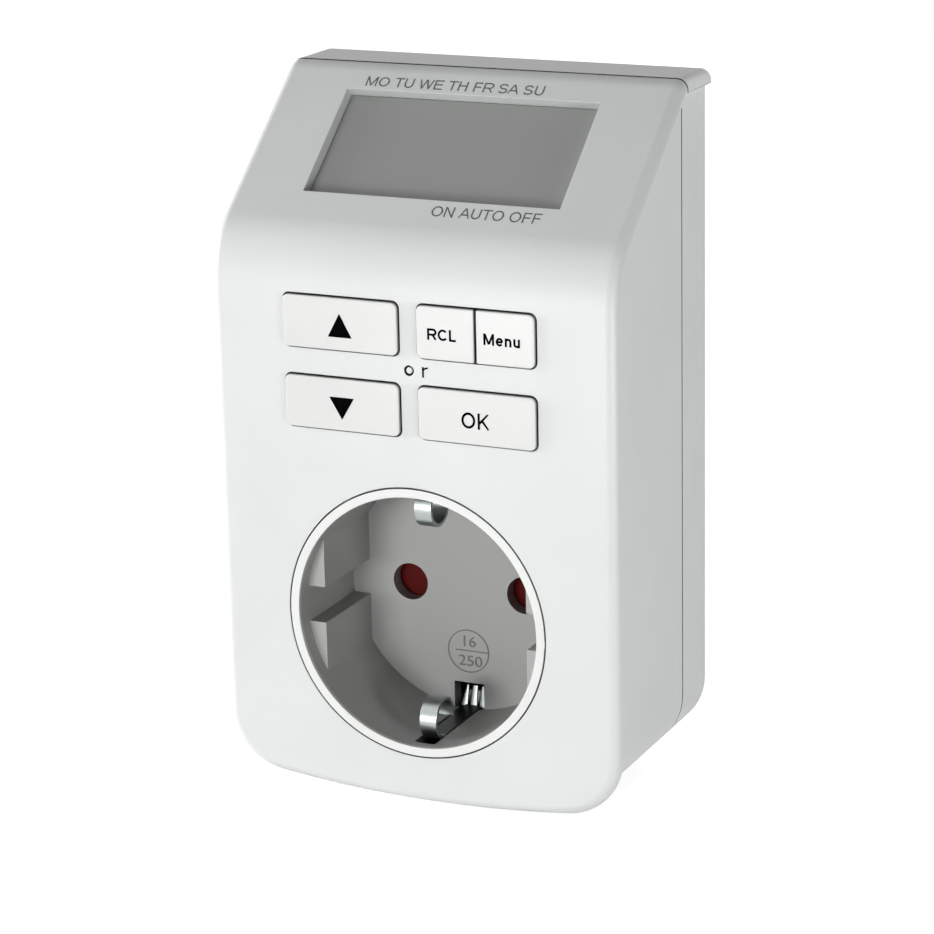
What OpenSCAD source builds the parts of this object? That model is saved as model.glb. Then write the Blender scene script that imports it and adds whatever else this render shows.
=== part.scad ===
// Plug-in timer switch with a sloped display, five keys and an earthed socket.
// X runs to the right, Y from the front to the wall outlet, Z up. Millimetres.
// The origin is the middle of the plug's end face, between the two pins.

/* [Case] */
// Width over the front lip
case_w = 64; // [60:0.5:72]
// Depth from the front face to the back face, without the plug
case_d = 37.3; // [36:0.1:44]
// Height of the socket's axis above the lowest point of the front
socket_up = 28; // [26.5:0.5:34]
// Height of the top above the socket's axis
top_up = 77.7; // [76:0.1:84]
// Depth of the front cover, back to the seam
seam_d = 28; // [27.8:0.1:29]
// How far the front lip stands out beyond the side walls
lip_over = 1; // [0.8:0.1:1.6]
// Thickness of the front lip
lip_t = 2; // [1.6:0.1:2.4]
// Height of the hood's rim at the top of the rear cover
hood_h = 2.1; // [1.8:0.1:2.6]
// Thickness of the case's walls
wall = 2; // [1.8:0.1:2.2]
// Radius of the bottom corners
corner_r = 9.5; // [7:0.5:12]
// Radius of the gently arched bottom edge
arch_r = 195; // [150:5:260]
// Radius of the top corners
top_r = 1.7; // [1.2:0.1:2.2]
// Height of the tongue at the seam
tongue_h = 1.4; // [1:0.1:1.8]

/* [Display] */
// How far the display panel leans back from upright, in degrees
lean = 50; // [47:0.5:51]
// Flat strip of roof between the panel and the seam
roof_l = 1; // [0.8:0.1:2]
// Radius of the bend between the front face and the panel
bend_r = 12; // [8:0.5:12]
// Width of the display opening
display_w = 40.8; // [36:0.2:42]
// Height of the display opening along the panel
display_h = 19.6; // [16:0.2:20]
// Distance down the panel from its top edge to the opening
display_drop = 5.2; // [4.8:0.1:5.6]
// Thickness of the clear window
window_t = 1; // [0.8:0.1:1.4]
// How far the window's raised middle lies behind the panel's face
window_set = 1.4; // [1.2:0.1:1.8]
// Thickness of the liquid crystal cell
lcd_t = 2; // [1.6:0.1:2.4]

/* [Keys] */
// Width of one key opening
key_w = 18.8; // [17:0.1:19.5]
// Height of one key opening
key_h = 8.2; // [7:0.1:8.6]
// Gap between the left and the right key opening
key_between = 2.7; // [2.4:0.1:4]
// Distance between the two rows of keys
row_pitch = 12; // [11:0.1:12.6]
// Height of the upper row above the socket's axis
row_up = 44.4; // [43.8:0.1:44.4]
// Corner radius of the key openings
key_r = 1.1; // [1:0.1:2]
// How far the keys stand out of the front face
key_proud = 0.6; // [0.4:0.1:1]
// Gap round each key
key_gap = 0.2; // [0.15:0.01:0.3]
// Travel of a key
key_travel = 0.5; // [0.3:0.05:0.6]
// Radius of the reset button's hole
reset_r = 0.78; // [0.7:0.01:1]

/* [Socket] */
// Outer radius of the socket's rim
rim_r = 20.65; // [20.5:0.05:21]
// Gap round the rim
rim_gap = 0.2; // [0.15:0.01:0.3]
// Radius of the socket's recess
cup_r = 19.3; // [19.2:0.05:19.5]
// Depth of the recess
cup_d = 17.9; // [17.5:0.1:18.2]
// Thickness of the recess's floor
floor_t = 2.3; // [2:0.1:2.6]
// Distance between the two pins
pin_pitch = 19; // [18.8:0.1:19.2]
// Radius of the pin holes in the recess's floor
pin_hole_r = 2.9; // [2.7:0.05:3.1]
// Distance of the guide ribs' flat faces from the axis
rib_x = 16.4; // [16.2:0.1:16.8]
// Distance of the guide ribs from the front face
rib_set = 3; // [2:0.1:4]
// Width of the groove between two guide ribs
rib_groove = 5.5; // [5:0.1:6]
// Width of the earth clips in the recess
clip_w = 2.8; // [2.4:0.1:3.4]
// Thickness of the earth clips' strip
strip_t = 0.6; // [0.5:0.05:0.8]
// Outer radius of an earth clip's curl
curl_r = 3.25; // [2.8:0.05:3.6]
// Distance of the curl's centre from the socket's axis
curl_z = 16.6; // [16.4:0.1:16.9]
// Distance of the curl's centre behind the front face
curl_y = 6.4; // [6:0.1:7]
// Angle that the shutter turns through
shutter_turn = 40; // [38:1:44]

/* [Plug] */
// Radius of the plug's body
plug_r = 18.5; // [18.2:0.05:18.6]
// Length of the plug's body
plug_l = 16.8; // [16.4:0.1:17.3]
// Radius of the plug's pins
pin_r = 2.4; // [2.35:0.01:2.45]
// Length of the plug's pins
pin_l = 19; // [18.5:0.1:19.5]
// Height of the earth pin's hole above the plug's axis
earth_hole_up = 10; // [9.5:0.1:10.5]
// Radius of the earth pin's hole
earth_hole_r = 3.1; // [3:0.05:3.3]

/* [Inside] */
// Thickness of the circuit boards
board_t = 1.6; // [1.2:0.1:1.8]
// Distance of the control board behind the front face
control_y = 8; // [7.6:0.1:9]
// Gap between the power board and the rear wall
power_stand = 2.2; // [1.8:0.1:3]
// Gap between the relay and the mains capacitor
parts_gap = 4; // [3:0.5:4]
// Width of the relay
relay_w = 19; // [17:0.5:19]
// Height of the relay above its board
relay_d = 15.4; // [12:0.1:16]
// Radius of the shanks of the case screws
screw_r = 1.25; // [1.1:0.05:1.4]
// Radius of the insulated leads
lead_r = 1.1; // [0.9:0.05:1.2]

/* [Hidden] */
$fn = 64;

case_hw = case_w / 2;            // half width over the lip
back_y = case_d + plug_l;        // distance of the plug's end face behind the front face
rear_in = case_d - wall;         // inner face of the rear wall
power_y = rear_in - power_stand - board_t;
floor_y = cup_d + floor_t;       // back face of the recess's floor
seat = 0.2;                      // gap between a piece and the piece it seats on
run = 0.05;                      // radial clearance of running and screw fits
touch = 0.02;                    // gap between two pieces that lie against each other
arc_steps = 12;                  // straight pieces in one rounded stretch
far = 200;                       // longer than anything in the case

// Panel
panel_back = seam_d - roof_l;
panel_top_z = top_up;
panel_foot_z = top_up - panel_back / tan(lean);
bend_tangent = bend_r * tan(lean / 2);
lcd_edge = 1.2;                  // how far the window and the cell reach behind the panel
window_play = 0.15;              // round the window's raised middle
window_w = display_w + 2 * lcd_edge;
window_h = display_h + 2 * lcd_edge;
display_mid = display_drop + display_h / 2;
stack_t = window_t + lcd_t;
holder_rim = 1.2;
holder_back = 1.4;

// Keys
key_x = key_between / 2 + key_w / 2;
low_row = row_up - row_pitch;
split_gap = 0.37;                // gap between the two keys that share an opening
half_key_w = (key_w - 2 * key_gap - split_gap) / 2;
half_key_x = (half_key_w + split_gap) / 2;
reset_z = row_up - row_pitch / 2;
reset_button_r = 0.5;
reset_set = 0.1;                 // how far the reset button's end lies inside the front face
flange_over = 0.7;               // how far a key's flange reaches behind the cover
flange_t = 0.8;
flange_y = wall + seat;
tact_w = 4.6;
tact_h = 3.2;
plunger_r = 1.3;
plunger_out = 0.7;
plunger_in = 0.3;
key_edge = 0.3;                  // step in the outline near a key's front edge
tact_y = control_y - tact_h;
plunger_y = tact_y - plunger_out;
stem_r = 1.2;
key_places = [
    [-key_x, row_up], [-key_x, low_row], [key_x - half_key_x, row_up],
    [key_x + half_key_x, row_up], [key_x, low_row], [0, reset_z]];

// Socket
flange_r = rim_r + rim_gap + 1.2;
insert_flange_t = 1.2;
slot_w = clip_w + 0.6;           // slots in the recess's wall for the earth clips
slot_front = curl_y - curl_r - 1.15;
floor_window_w = 5;              // windows in the recess's floor for the earth clips
window_in = 15.1;
shutter_t = 1.1;
shutter_y = floor_y + 0.3;
lobe_half = shutter_turn / 2;    // half angle of one shutter lobe: it covers a hole, then clears it
lobe_in = 5.5;
lobe_out = pin_pitch / 2 + pin_hole_r + 0.8;
hub_r = 4;
pivot_r = 1.5;
carrier_y = floor_y + 1.8;
carrier_t = 2;
carrier_back = carrier_y + carrier_t;
carrier_r = 15.5;
collar_r = 4.4;
collar_l = 8.5;
sleeve_in = pin_r + touch;
sleeve_out = pin_r + 0.7;
sleeve_y = carrier_back + 0.1;
sleeve_l = 12;
spring_r = 2.4;                  // mean radius of the shutter spring's coil
spring_wire_r = 0.15;
spring_turns = 4;
spring_room = 0.8;
spring_pitch = 0.45;
spring_y = shutter_y + shutter_t + spring_wire_r + 0.05;
carrier_screw_angle = 115;
carrier_screw_at = 13.2;
carrier_post_r = 2.2;

// Earth straps
strap_w = 4.6;
strap_z = 17.8;                  // middle of the strap behind the recess
leg_y = floor_y - 0.7;           // the strap's upright leg in the window
contact_z = plug_r - strip_t / 2 - 0.1;
step_y = case_d + 2 - strip_t;    // where the strap steps out to the plug's side
leg_rib_pitch = 1.45;
leg_rib_r = 0.5;
bridge_y = rear_in - 1.8;
bridge_w = 4;

// Plug
plug_wall = 1.8;
support_angles = [0, 180, 245, 295];
plug_end = 2.4;
plug_flat_x = rib_x - 0.3;
plug_ridge = rib_groove - 0.4;
groove_w = strap_w + 0.4;
groove_z = strap_z - strip_t / 2 - 0.35;
inner_end = back_y - plug_end;   // inner face of the plug's end wall
pin_head_r = 3.6;
pin_head_t = 1.2;
pin_tip_r = 1;
pin_collar_r = 2.9;              // collar that the end wall holds
pin_groove_r = 1.9;              // groove between the collar and the shank
pin_groove_w = 0.3;
bar_w = 4;                       // bar to the neutral pin
bar_t = 1;
earth_sleeve_l = 12;

// Screws and boards
post_r = 2.6;
upper_screw_z = panel_top_z - (display_mid + window_h / 2 + holder_rim) * cos(lean)
    - (wall + stack_t + holder_back) * sin(lean) - post_r - 0.3;
case_screws_at = [[24.3, -18.6], [case_hw - lip_over - 4.8, upper_screw_z]];
case_screw_l = 12;
case_screw_hole = 9;
control_screw_l = 5.5;
carrier_screw_l = 4.6;
boss_r = 4;
boss_gap = 0.3;
head_r = 2.5;
head_t = 1.8;
head_floor = 3.5;                // plastic left under a case screw's head
small_r = 1;                     // shank of the board and carrier screws
post_edge = 2.3;                 // board left outside the middle of a screw
small_post_wall = 1.1;
control_post_x = key_x + key_w / 2 - key_gap + flange_over + small_r + run + small_post_wall + 0.5;
control_w = 2 * (control_post_x + post_edge);
control_low = 25;
control_high = upper_screw_z - post_r - 0.4;
control_at = [[control_post_x, reset_z], [-control_post_x, reset_z]];
power_low = 24.8;
power_high = 66;
small_head_r = 1.9;
small_head_t = 1.2;
chip_w = 10;
chip_t = 1.6;
chip_x = -7;                     // left edge of the chip
chip_up = 5;                     // height of the chip above the board's lower edge
crystal_x = 11;
crystal_up = 8;
crystal_r = 1.6;
crystal_l = 6;
relay_h = 15.4;
film_cap_w = 17;
board_edge = 1.5;                // power board left free beside its parts
power_w = relay_w + film_cap_w + parts_gap + 2 * board_edge;
power_at = [[power_w / 2 - 3, power_high - 7], [3 - power_w / 2, power_high - 7]];
relay_up = 4.2;                  // heights above the power board's lower edge
film_cap_up = 4.6;
can_up = 16.8;
disc_up = 23.2;
resistor_up = 28.7;
diode_up = 13.6;
ribbon_x = -6;                   // places from the middle of the board
ribbon_w = 9;
ribbon_t = 1;
ribbon_down = 4.2;               // below the control board's upper edge
film_cap_l = 12.5;
film_cap_h = 7;
can_x = power_w / 2 - 13.5;
disc_x = 9.5 - power_w / 2;
resistor_x = 6.5 - power_w / 2;
resistor_step = 3.5;
diode_x = power_w / 2 - 8.1;
diode_step = 3.4;
diode_rise = 5.6;
can_r = 4;                       // electrolytic capacitor
can_l = 11;
disc_r = 4.6;                    // varistor
disc_t = 3.2;
resistor_r = 1.2;
resistor_l = 6.5;
diode_r = 1.3;
diode_l = 4.6;
cell_r = 5.8;                    // backup battery
cell_t = 4.8;
cell_at = [power_w / 2 - 13.5, power_low + 29.6];
clip_t = 0.68;                   // strip of the battery's clip
clip_half = 2.5;
cell_back = power_y - clip_t - touch;
cell_front = cell_back - cell_t;
clip_front = cell_front - touch - clip_t;
clip_top = cell_at[1] + cell_r + 1.7;

// Frames and small shapes
function about(middle, half) = [middle - half, middle + half];
function from(start, size) = [start, start + size];
module in_case() translate([0, -back_y, 0]) children();
module along_y(y0, y1) translate([0, y1, 0]) rotate([90, 0, 0]) linear_extrude(y1 - y0) children();
module along_x(x0, x1) translate([x0, 0, 0]) rotate([90, 0, 90]) linear_extrude(x1 - x0) children();
module peg(x, z, y0, y1, r) translate([x, y1, z]) rotate([90, 0, 0]) cylinder(h = y1 - y0, r = r);
module block(x, y, z) translate([x[0], y[0], z[0]]) cube([x[1] - x[0], y[1] - y[0], z[1] - z[0]]);
// On the panel, Y runs up the slope from the top edge and Z points out of the case.
module on_panel() translate([0, panel_back, panel_top_z]) rotate([90 - lean, 0, 0]) children();
module both_sides() {
    children();
    mirror([1, 0, 0]) children();
}
module top_and_bottom() {
    children();
    mirror([0, 0, 1]) children();
}
module rounded(w, h, r) {
    square([w, h - 2 * r], center = true);
    square([w - 2 * r, h], center = true);
    for (x = [-1, 1], z = [-1, 1]) translate([x * (w / 2 - r), z * (h / 2 - r)]) circle(r = r);
}
module wire(points, r, sides = 14) for (i = [0 : len(points) - 2]) hull() {
    translate(points[i]) sphere(r = r, $fn = sides);
    translate(points[i + 1]) sphere(r = r, $fn = sides);
}

// Outline of the case seen from the front, drawn in by `inset` on every side.
function arc(cx, cz, r, a0, a1) =
    [for (i = [0 : arc_steps]) let (a = a0 + (a1 - a0) * i / arc_steps) [cx + r * cos(a), cz + r * sin(a)]];
function arch_z(inset) = arch_r - socket_up + inset;
function corner_x(inset, r) = case_hw - inset - r;
function corner_z(inset, r) = arch_z(inset) - sqrt(pow(arch_r - r, 2) - pow(corner_x(inset, r), 2));
function corner_turn(inset, r) = asin(corner_x(inset, r) / (arch_r - r));
function outline(inset, r, rt) = let (
    cx = corner_x(inset, r), cz = corner_z(inset, r), turn = corner_turn(inset, r),
    tx = case_hw - inset - rt, tz = top_up - inset - rt) concat(
        arc(tx, tz, rt, 90, 0),
        arc(cx, cz, r, 0, turn - 90),
        arc(0, arch_z(inset), arch_r, turn - 90, -90 - turn),
        arc(-cx, cz, r, -90 - turn, -180),
        arc(-tx, tz, rt, 180, 90));
module front_view(inset, r = corner_r, rt = top_r) polygon(outline(inset, r, rt));

// Outline of the case seen from the side, drawn in by `inset` from the front face and the panel.
function bend_z() = panel_foot_z - bend_tangent;
function panel_point(inset, s) = [
    panel_back - s * sin(lean) + inset * cos(lean),
    panel_top_z - s * cos(lean) - inset * sin(lean)];
function side_points(inset, y_end) = concat(
    [[inset, -far]],
    [for (i = [0 : arc_steps]) let (a = lean * i / arc_steps)
        [bend_r - (bend_r - inset) * cos(a), bend_z() + (bend_r - inset) * sin(a)]],
    [panel_point(inset, 0) + far * [sin(lean), cos(lean)], [y_end + far, -far]]);
module side_view(inset, y_end = seam_d) intersection() {
    polygon(side_points(inset, y_end));
    translate([-far, -far]) square([y_end + far, 2 * far]);
}
module profile(inset, y_end = seam_d) along_x(-far, far) side_view(inset, y_end);

// Front cover: the lip, the side walls behind it, and what is cut and added inside
module front_cover() color("white") in_case() difference() {
    union() {
        difference() {
            front_shell();
            intersection() {
                along_y(0, seam_d + 1) front_view(lip_over + wall, corner_r - wall, top_r);
                profile(wall, seam_d + 1);
            }
        }
        intersection() {
            front_posts();
            profile(wall / 2);
        }
    }
    tongue(seam_d - tongue_h - 0.2, seam_d + 1, 0.15);
    peg(0, 0, -1, wall + 1, rim_r + rim_gap);
    for (x = [-1, 1], z = [row_up, low_row])
        translate([x * key_x, 0, z]) along_y(-1, wall + 1) rounded(key_w, key_h, key_r);
    peg(0, reset_z, -1, wall + 1, reset_r);
    on_panel() translate([0, -display_mid, 0])
        cube([display_w, display_h, 4 * wall], center = true);
    for (p = case_screws_at) both_sides()
        peg(p[0], p[1], seam_d - case_screw_hole, seam_d + 1, screw_r + run);
    for (p = control_at) peg(p[0], p[1], wall + 1, control_y + 1, small_r + run);
}
module front_shell() {
    difference() {
        intersection() {
            along_y(0, seam_d) front_view(0);
            profile(0);
        }
        profile(lip_t, seam_d + 1);
    }
    intersection() {
        along_y(0, seam_d) front_view(lip_over);
        profile(lip_t / 2);
    }
}
module front_posts() {
    for (p = case_screws_at) both_sides() peg(p[0], p[1], 0, seam_d, post_r);
    for (p = control_at) peg(p[0], p[1], 0, control_y, small_r + run + small_post_wall);
}
// The tongue of the rear cover, or the rebate for it when `room` is above 0
module tongue(y0, y1, room) along_y(y0, y1) difference() {
    front_view(lip_over + wall / 2 - room, corner_r - wall / 2, top_r);
    front_view(lip_over + wall + room, corner_r - wall, top_r);
}

// Rear cover with its hood and the plug's body
module rear_cover() color("white") in_case() difference() {
    union() {
        difference() {
            union() {
                along_y(seam_d, case_d) front_view(lip_over);
                intersection() {
                    along_y(seam_d, case_d) front_view(0);
                    block(about(0, far), [0, far], [top_up - hood_h, far]);
                }
            }
            along_y(seam_d - 1, rear_in) front_view(lip_over + wall, corner_r - wall, top_r);
        }
        tongue(seam_d - tongue_h, seam_d + 0.01, 0);
        along_y(rear_in, back_y) plug_outline();
        for (p = case_screws_at) both_sides() peg(p[0], p[1], seam_d + boss_gap, rear_in + 0.1, boss_r);
        for (a = support_angles)
            peg(support_at() * cos(a), support_at() * sin(a), floor_y + 0.1, rear_in + 0.1, 1.5);
        for (p = power_at)
            peg(p[0], p[1], power_y + board_t, rear_in + 0.1, small_r + run + small_post_wall);
    }
    peg(0, 0, rear_in - 1, inner_end, plug_flat_x - plug_wall + 0.5);
    top_and_bottom() {
        block(about(0, groove_w / 2), [rear_in - 1, inner_end], [groove_z, contact_z + strip_t / 2 + 0.3]);
        block(about(0, groove_w / 2), [case_d, inner_end], [groove_z, plug_r + 1]);
    }
    for (x = [-1, 1]) peg(x * pin_pitch / 2, 0, inner_end - 1, back_y + 1, pin_collar_r + touch);
    peg(0, earth_hole_up, inner_end - 1, back_y + 1, earth_hole_r);
    for (p = case_screws_at) both_sides() {
        peg(p[0], p[1], seam_d - 1, case_d + 1, screw_r + 0.3);
        peg(p[0], p[1], seam_d + boss_gap + head_floor, case_d + 1, head_r + 0.3);
    }
    for (p = power_at) peg(p[0], p[1], power_y, rear_in + 0.6, small_r + run);
}
function support_at() = (carrier_r + rim_r) / 2 + 0.9;
module plug_outline() intersection() {
    circle(r = plug_r);
    union() {
        square([2 * plug_flat_x, 2 * plug_r], center = true);
        square([2 * plug_r, plug_ridge], center = true);
    }
}

// Socket insert: rim, recess, guide ribs and pin holes
module socket_insert() color("white") in_case() difference() {
    union() {
        difference() {
            union() {
                peg(0, 0, 0, floor_y, rim_r);
                peg(0, 0, wall + seat, wall + seat + insert_flange_t, flange_r);
            }
            peg(0, 0, -1, cup_d, cup_r);
        }
        along_y(rib_set, cup_d + 0.1) guide_ribs();
        peg(0, 0, floor_y - 0.1, carrier_y - 0.1, pivot_r);
        for (a = [0, 180]) rotate([0, -a, 0])
            peg(carrier_post(0), carrier_post(1), floor_y - 0.1, carrier_y, carrier_post_r);
    }
    for (x = [-1, 1]) peg(x * pin_pitch / 2, 0, cup_d - 1, floor_y + 1, pin_hole_r);
    top_and_bottom() {
        block(about(0, slot_w / 2), [slot_front, floor_y + 1], [window_in + 3, flange_r + 1]);
        block(about(0, floor_window_w / 2), [cup_d - 0.1, floor_y + 1], [window_in, flange_r + 1]);
    }
    for (a = [0, 180]) rotate([0, -a, 0])
        peg(carrier_post(0), carrier_post(1), floor_y - 1.3, carrier_y + 1, small_r + run);
}
function carrier_post(i) = carrier_screw_at * [cos(carrier_screw_angle), sin(carrier_screw_angle)][i];
module guide_ribs() difference() {
    circle(r = cup_r + 0.1);
    square([2 * rib_x, 4 * cup_r], center = true);
    square([4 * cup_r, rib_groove], center = true);
}

// Carrier plate behind the shutter, with a collar for each contact
module contact_carrier() color("gainsboro") in_case() difference() {
    union() {
        peg(0, 0, carrier_y, carrier_back, carrier_r);
        for (x = [-1, 1])
            peg(x * pin_pitch / 2, 0, carrier_back - 0.1, carrier_back + collar_l, collar_r);
    }
    for (x = [-1, 1]) {
        peg(x * pin_pitch / 2, 0, carrier_y - 1, carrier_back + 1, pin_hole_r);
        peg(x * pin_pitch / 2, 0, carrier_back, far, sleeve_out + run);
    }
    peg(0, 0, carrier_y - 1, carrier_back + 1, spring_r + spring_room);
    for (a = [0, 180]) rotate([0, -a, 0])
        peg(carrier_post(0), carrier_post(1), carrier_y - 1, far, small_r + 0.2);
}

// Shutter: two lobes that cover the pin holes and turn aside on the pivot
module shutter() color("darkred") in_case() along_y(shutter_y, shutter_y + shutter_t) difference() {
    union() {
        circle(r = hub_r);
        for (a = [0, 180]) rotate(a) intersection() {
            circle(r = lobe_out);
            polygon([[0, 0], for (t = [-lobe_half, 0, lobe_half]) 2 * lobe_out * [cos(t), sin(t)]]);
        }
    }
    circle(r = pivot_r + run);
}
// Torsion spring that brings the shutter back: a leg on the shutter, a coil, a leg in the carrier
module shutter_spring() color("silver") in_case() wire(concat(
    [[lobe_in, spring_y, 0]],
    [for (i = [0 : spring_turns * 12]) let (a = i * 30)
        [spring_r * cos(a), spring_y + i * spring_pitch / 12, spring_r * sin(a)]],
    [[spring_r, spring_y + spring_turns * spring_pitch, -1.6]]), spring_wire_r, 8);

// Contacts
module contact(side) in_case() {
    difference() {
        peg(side * pin_pitch / 2, 0, sleeve_y, sleeve_y + sleeve_l, sleeve_out);
        peg(side * pin_pitch / 2, 0, sleeve_y - 1, sleeve_y + sleeve_l - 1, sleeve_in);
        block(about(side * pin_pitch / 2, 0.4), [sleeve_y - 1, sleeve_y + sleeve_l - 1.5], about(0, far));
    }
}
module live_contact() color("goldenrod") contact(1);
module neutral_contact() color("goldenrod") contact(-1);

// Earth clip: curl and strip in the recess, ribbed leg in the window, strap on to the plug's side
module earth_clip() in_case() {
    along_x(-clip_w / 2, clip_w / 2) {
        translate([curl_y, curl_z]) difference() {
            circle(r = curl_r);
            circle(r = curl_r - strip_t);
            polygon([[0, 0], [0, 2 * curl_r], [3 * curl_r, 2 * curl_r], [3 * curl_r, 0.6 * curl_r]]);
        }
        translate([curl_y, curl_z + curl_r - strip_t]) square([leg_y + 0.3 - curl_y, strip_t]);
    }
    block(about(0, strap_w / 2), from(leg_y, strip_t), [window_in + 0.3, curl_z + curl_r]);
    for (x = [-1, 0, 1]) translate([x * leg_rib_pitch, leg_y, window_in + 0.4])
        cylinder(h = curl_z + curl_r - window_in - 0.6, r = leg_rib_r);
    along_x(-strap_w / 2, strap_w / 2) {
        translate([leg_y, strap_z - strip_t / 2]) square([step_y + strip_t - leg_y, strip_t]);
        translate([step_y, strap_z - strip_t / 2]) square([strip_t, contact_z - strap_z + strip_t]);
        translate([step_y, contact_z - strip_t / 2]) square([plug_l - 6, strip_t]);
    }
}
module earth_clip_top() color("silver") earth_clip();
module earth_clip_bottom() color("silver") mirror([0, 0, 1]) earth_clip();
// Bridge between the two straps, with a tongue to the earth pin's sleeve
module earth_bridge() color("silver") in_case() {
    block(about(0, bridge_w / 2), from(bridge_y, strip_t), about(0, strap_z - strip_t / 2 - touch));
    block(about(0, bridge_w / 2), [bridge_y, inner_end - 1],
        from(earth_hole_up + sleeve_out + touch, strip_t));
}
module earth_pin_sleeve() color("goldenrod") in_case() difference() {
    peg(0, earth_hole_up, inner_end - earth_sleeve_l, inner_end - 0.1, sleeve_out);
    peg(0, earth_hole_up, inner_end - earth_sleeve_l + 1, inner_end + 1, sleeve_in);
}

// Plug pins: rounded tip, collar in the end wall, head inside
module plug_pin(side) in_case() translate([side * pin_pitch / 2, 0, 0]) {
    peg(0, 0, inner_end - pin_head_t, back_y, pin_collar_r);
    peg(0, 0, back_y - 0.5, back_y + pin_groove_w + 0.1, pin_groove_r);
    peg(0, 0, back_y + pin_groove_w, back_y + pin_l - pin_tip_r, pin_r);
    translate([0, back_y + pin_l - pin_tip_r, 0]) rotate([-90, 0, 0]) rotate_extrude() intersection() {
        square([pin_r, pin_tip_r]);
        union() {
            square([pin_r - pin_tip_r, pin_tip_r]);
            translate([pin_r - pin_tip_r, 0]) circle(r = pin_tip_r);
        }
    }
    peg(0, 0, inner_end - pin_head_t, inner_end - 0.05, pin_head_r);
}
module plug_pin_live() color("silver") plug_pin(1);
module plug_pin_neutral() color("silver") plug_pin(-1);
// Bar from the neutral contact straight back to the neutral pin
module neutral_busbar() color("goldenrod") in_case()
    block(about(-pin_pitch / 2, bar_w / 2),
        [sleeve_y + sleeve_l + touch, inner_end - pin_head_t - touch], about(0, bar_t / 2));

// Insulated leads
module live_lead() color("saddlebrown") in_case() wire([
    [pin_pitch / 2, inner_end - pin_head_t - lead_r - 0.05, 0], [pin_pitch / 2, case_d + 4.7, 4],
    [9.2, case_d - 0.3, 7.3], [9.6, rear_in - 1.5, 9.2], [12, power_y - 2.5, 18.5], board_end(12)], lead_r);
module load_lead() color("saddlebrown") in_case() wire([
    [12.55, sleeve_y + sleeve_l - 2.2, 3.05], [12.5, sleeve_y + sleeve_l - 2.2, 4.9],
    [12.5, power_y - 1.7, 5.1], [17, power_y - 2.5, 15], [17, power_y - 3, 21], board_end(17)], lead_r);
module neutral_lead() color("steelblue") in_case() wire([
    [-pin_pitch / 2, case_d + 4.7, bar_t / 2 + touch + lead_r], [-9.2, case_d - 0.3, 7.3],
    [-9.6, rear_in - 1.5, 9.2], [-13, power_y - 2.5, 18.5], board_end(-13)], lead_r);
function board_end(x) = [x, power_y - lead_r - touch, power_low + 1.5];

// Keys: raised cap, flange behind the cover, and a stem to the switch
module key_cap(w, h, r) {
    along_y(key_edge - key_proud, flange_y + flange_t) rounded(w, h, r);
    along_y(-key_proud, key_edge - key_proud) rounded(w - key_edge, h - key_edge, r - key_edge / 2);
}
module key(i, w, left, right) in_case() translate([key_places[i][0], 0, key_places[i][1]]) {
    key_cap(w, key_h - 2 * key_gap, key_r - key_gap);
    block([-w / 2 - left, w / 2 + right], [flange_y, flange_y + flange_t],
        about(0, key_h / 2 - key_gap + flange_over));
    peg(0, 0, flange_y, plunger_y - run, stem_r);
}
full_key = key_w - 2 * key_gap;
module key_up() color("white") key(0, full_key, flange_over, flange_over);
module key_down() color("white") key(1, full_key, flange_over, flange_over);
module key_rcl() color("white") key(2, half_key_w, flange_over, 0);
module key_menu() color("white") key(3, half_key_w, 0, flange_over);
module key_ok() color("white") key(4, full_key, flange_over, flange_over);
module reset_button() color("white") in_case() {
    peg(0, reset_z, reset_set, plunger_y - run, reset_button_r);
    peg(0, reset_z, flange_y, flange_y + flange_t, stem_r);
}

// Switches on the control board, and their plungers
module plunger(i) color("black") in_case()
    peg(key_places[i][0], key_places[i][1], plunger_y, tact_y + plunger_in, plunger_r);
module plunger_up() plunger(0);
module plunger_down() plunger(1);
module plunger_rcl() plunger(2);
module plunger_menu() plunger(3);
module plunger_ok() plunger(4);
module plunger_reset() plunger(5);
module tact_switches() color("dimgray") in_case() for (p = key_places) difference() {
    block(about(p[0], tact_w / 2), [tact_y, control_y], about(p[1], tact_w / 2));
    peg(p[0], p[1], tact_y - 1, tact_y + plunger_in + key_travel + seat, plunger_r + run);
}

// Control board and its chips
module control_board() color("darkgreen") in_case() difference() {
    block(about(0, control_w / 2), from(control_y, board_t), [control_low, control_high]);
    for (p = control_at) peg(p[0], p[1], control_y - 1, control_y + board_t + 1, small_r + 0.2);
}
module microcontroller() color("black") in_case()
    block(from(chip_x, chip_w), from(control_y + board_t, chip_t), from(control_low + chip_up, chip_w));
module crystal() color("silver") in_case()
    along_x(crystal_x, crystal_x + crystal_l)
        translate([control_y + board_t + crystal_r, control_low + crystal_up]) circle(r = crystal_r);

// Display: window, cell, holder and flexible tail
module on_display() on_panel() translate([0, -display_mid, -wall]) children();
module display_window() color([0.8, 0.85, 0.85, 0.4]) in_case() on_display() {
    translate([0, 0, -window_t / 2]) cube([window_w, window_h, window_t], center = true);
    translate([0, 0, (wall - window_set) / 2 - 0.1])
        cube([display_w - 2 * window_play, display_h - 2 * window_play, wall - window_set + 0.2], center = true);
}
module lcd_glass() color("darkgray") in_case() on_display()
    translate([0, 0, -window_t - lcd_t / 2]) cube([window_w, window_h, lcd_t], center = true);
module lcd_holder() color("gainsboro") in_case() on_display() difference() {
    translate([0, 0, -(stack_t + holder_back) / 2])
        cube([window_w + 2 * holder_rim, window_h + 2 * holder_rim, stack_t + holder_back], center = true);
    translate([0, 0, (1 - stack_t) / 2])
        cube([window_w + 2 * touch + 0.1, window_h + 2 * touch + 0.1, stack_t + 1], center = true);
}
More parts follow.
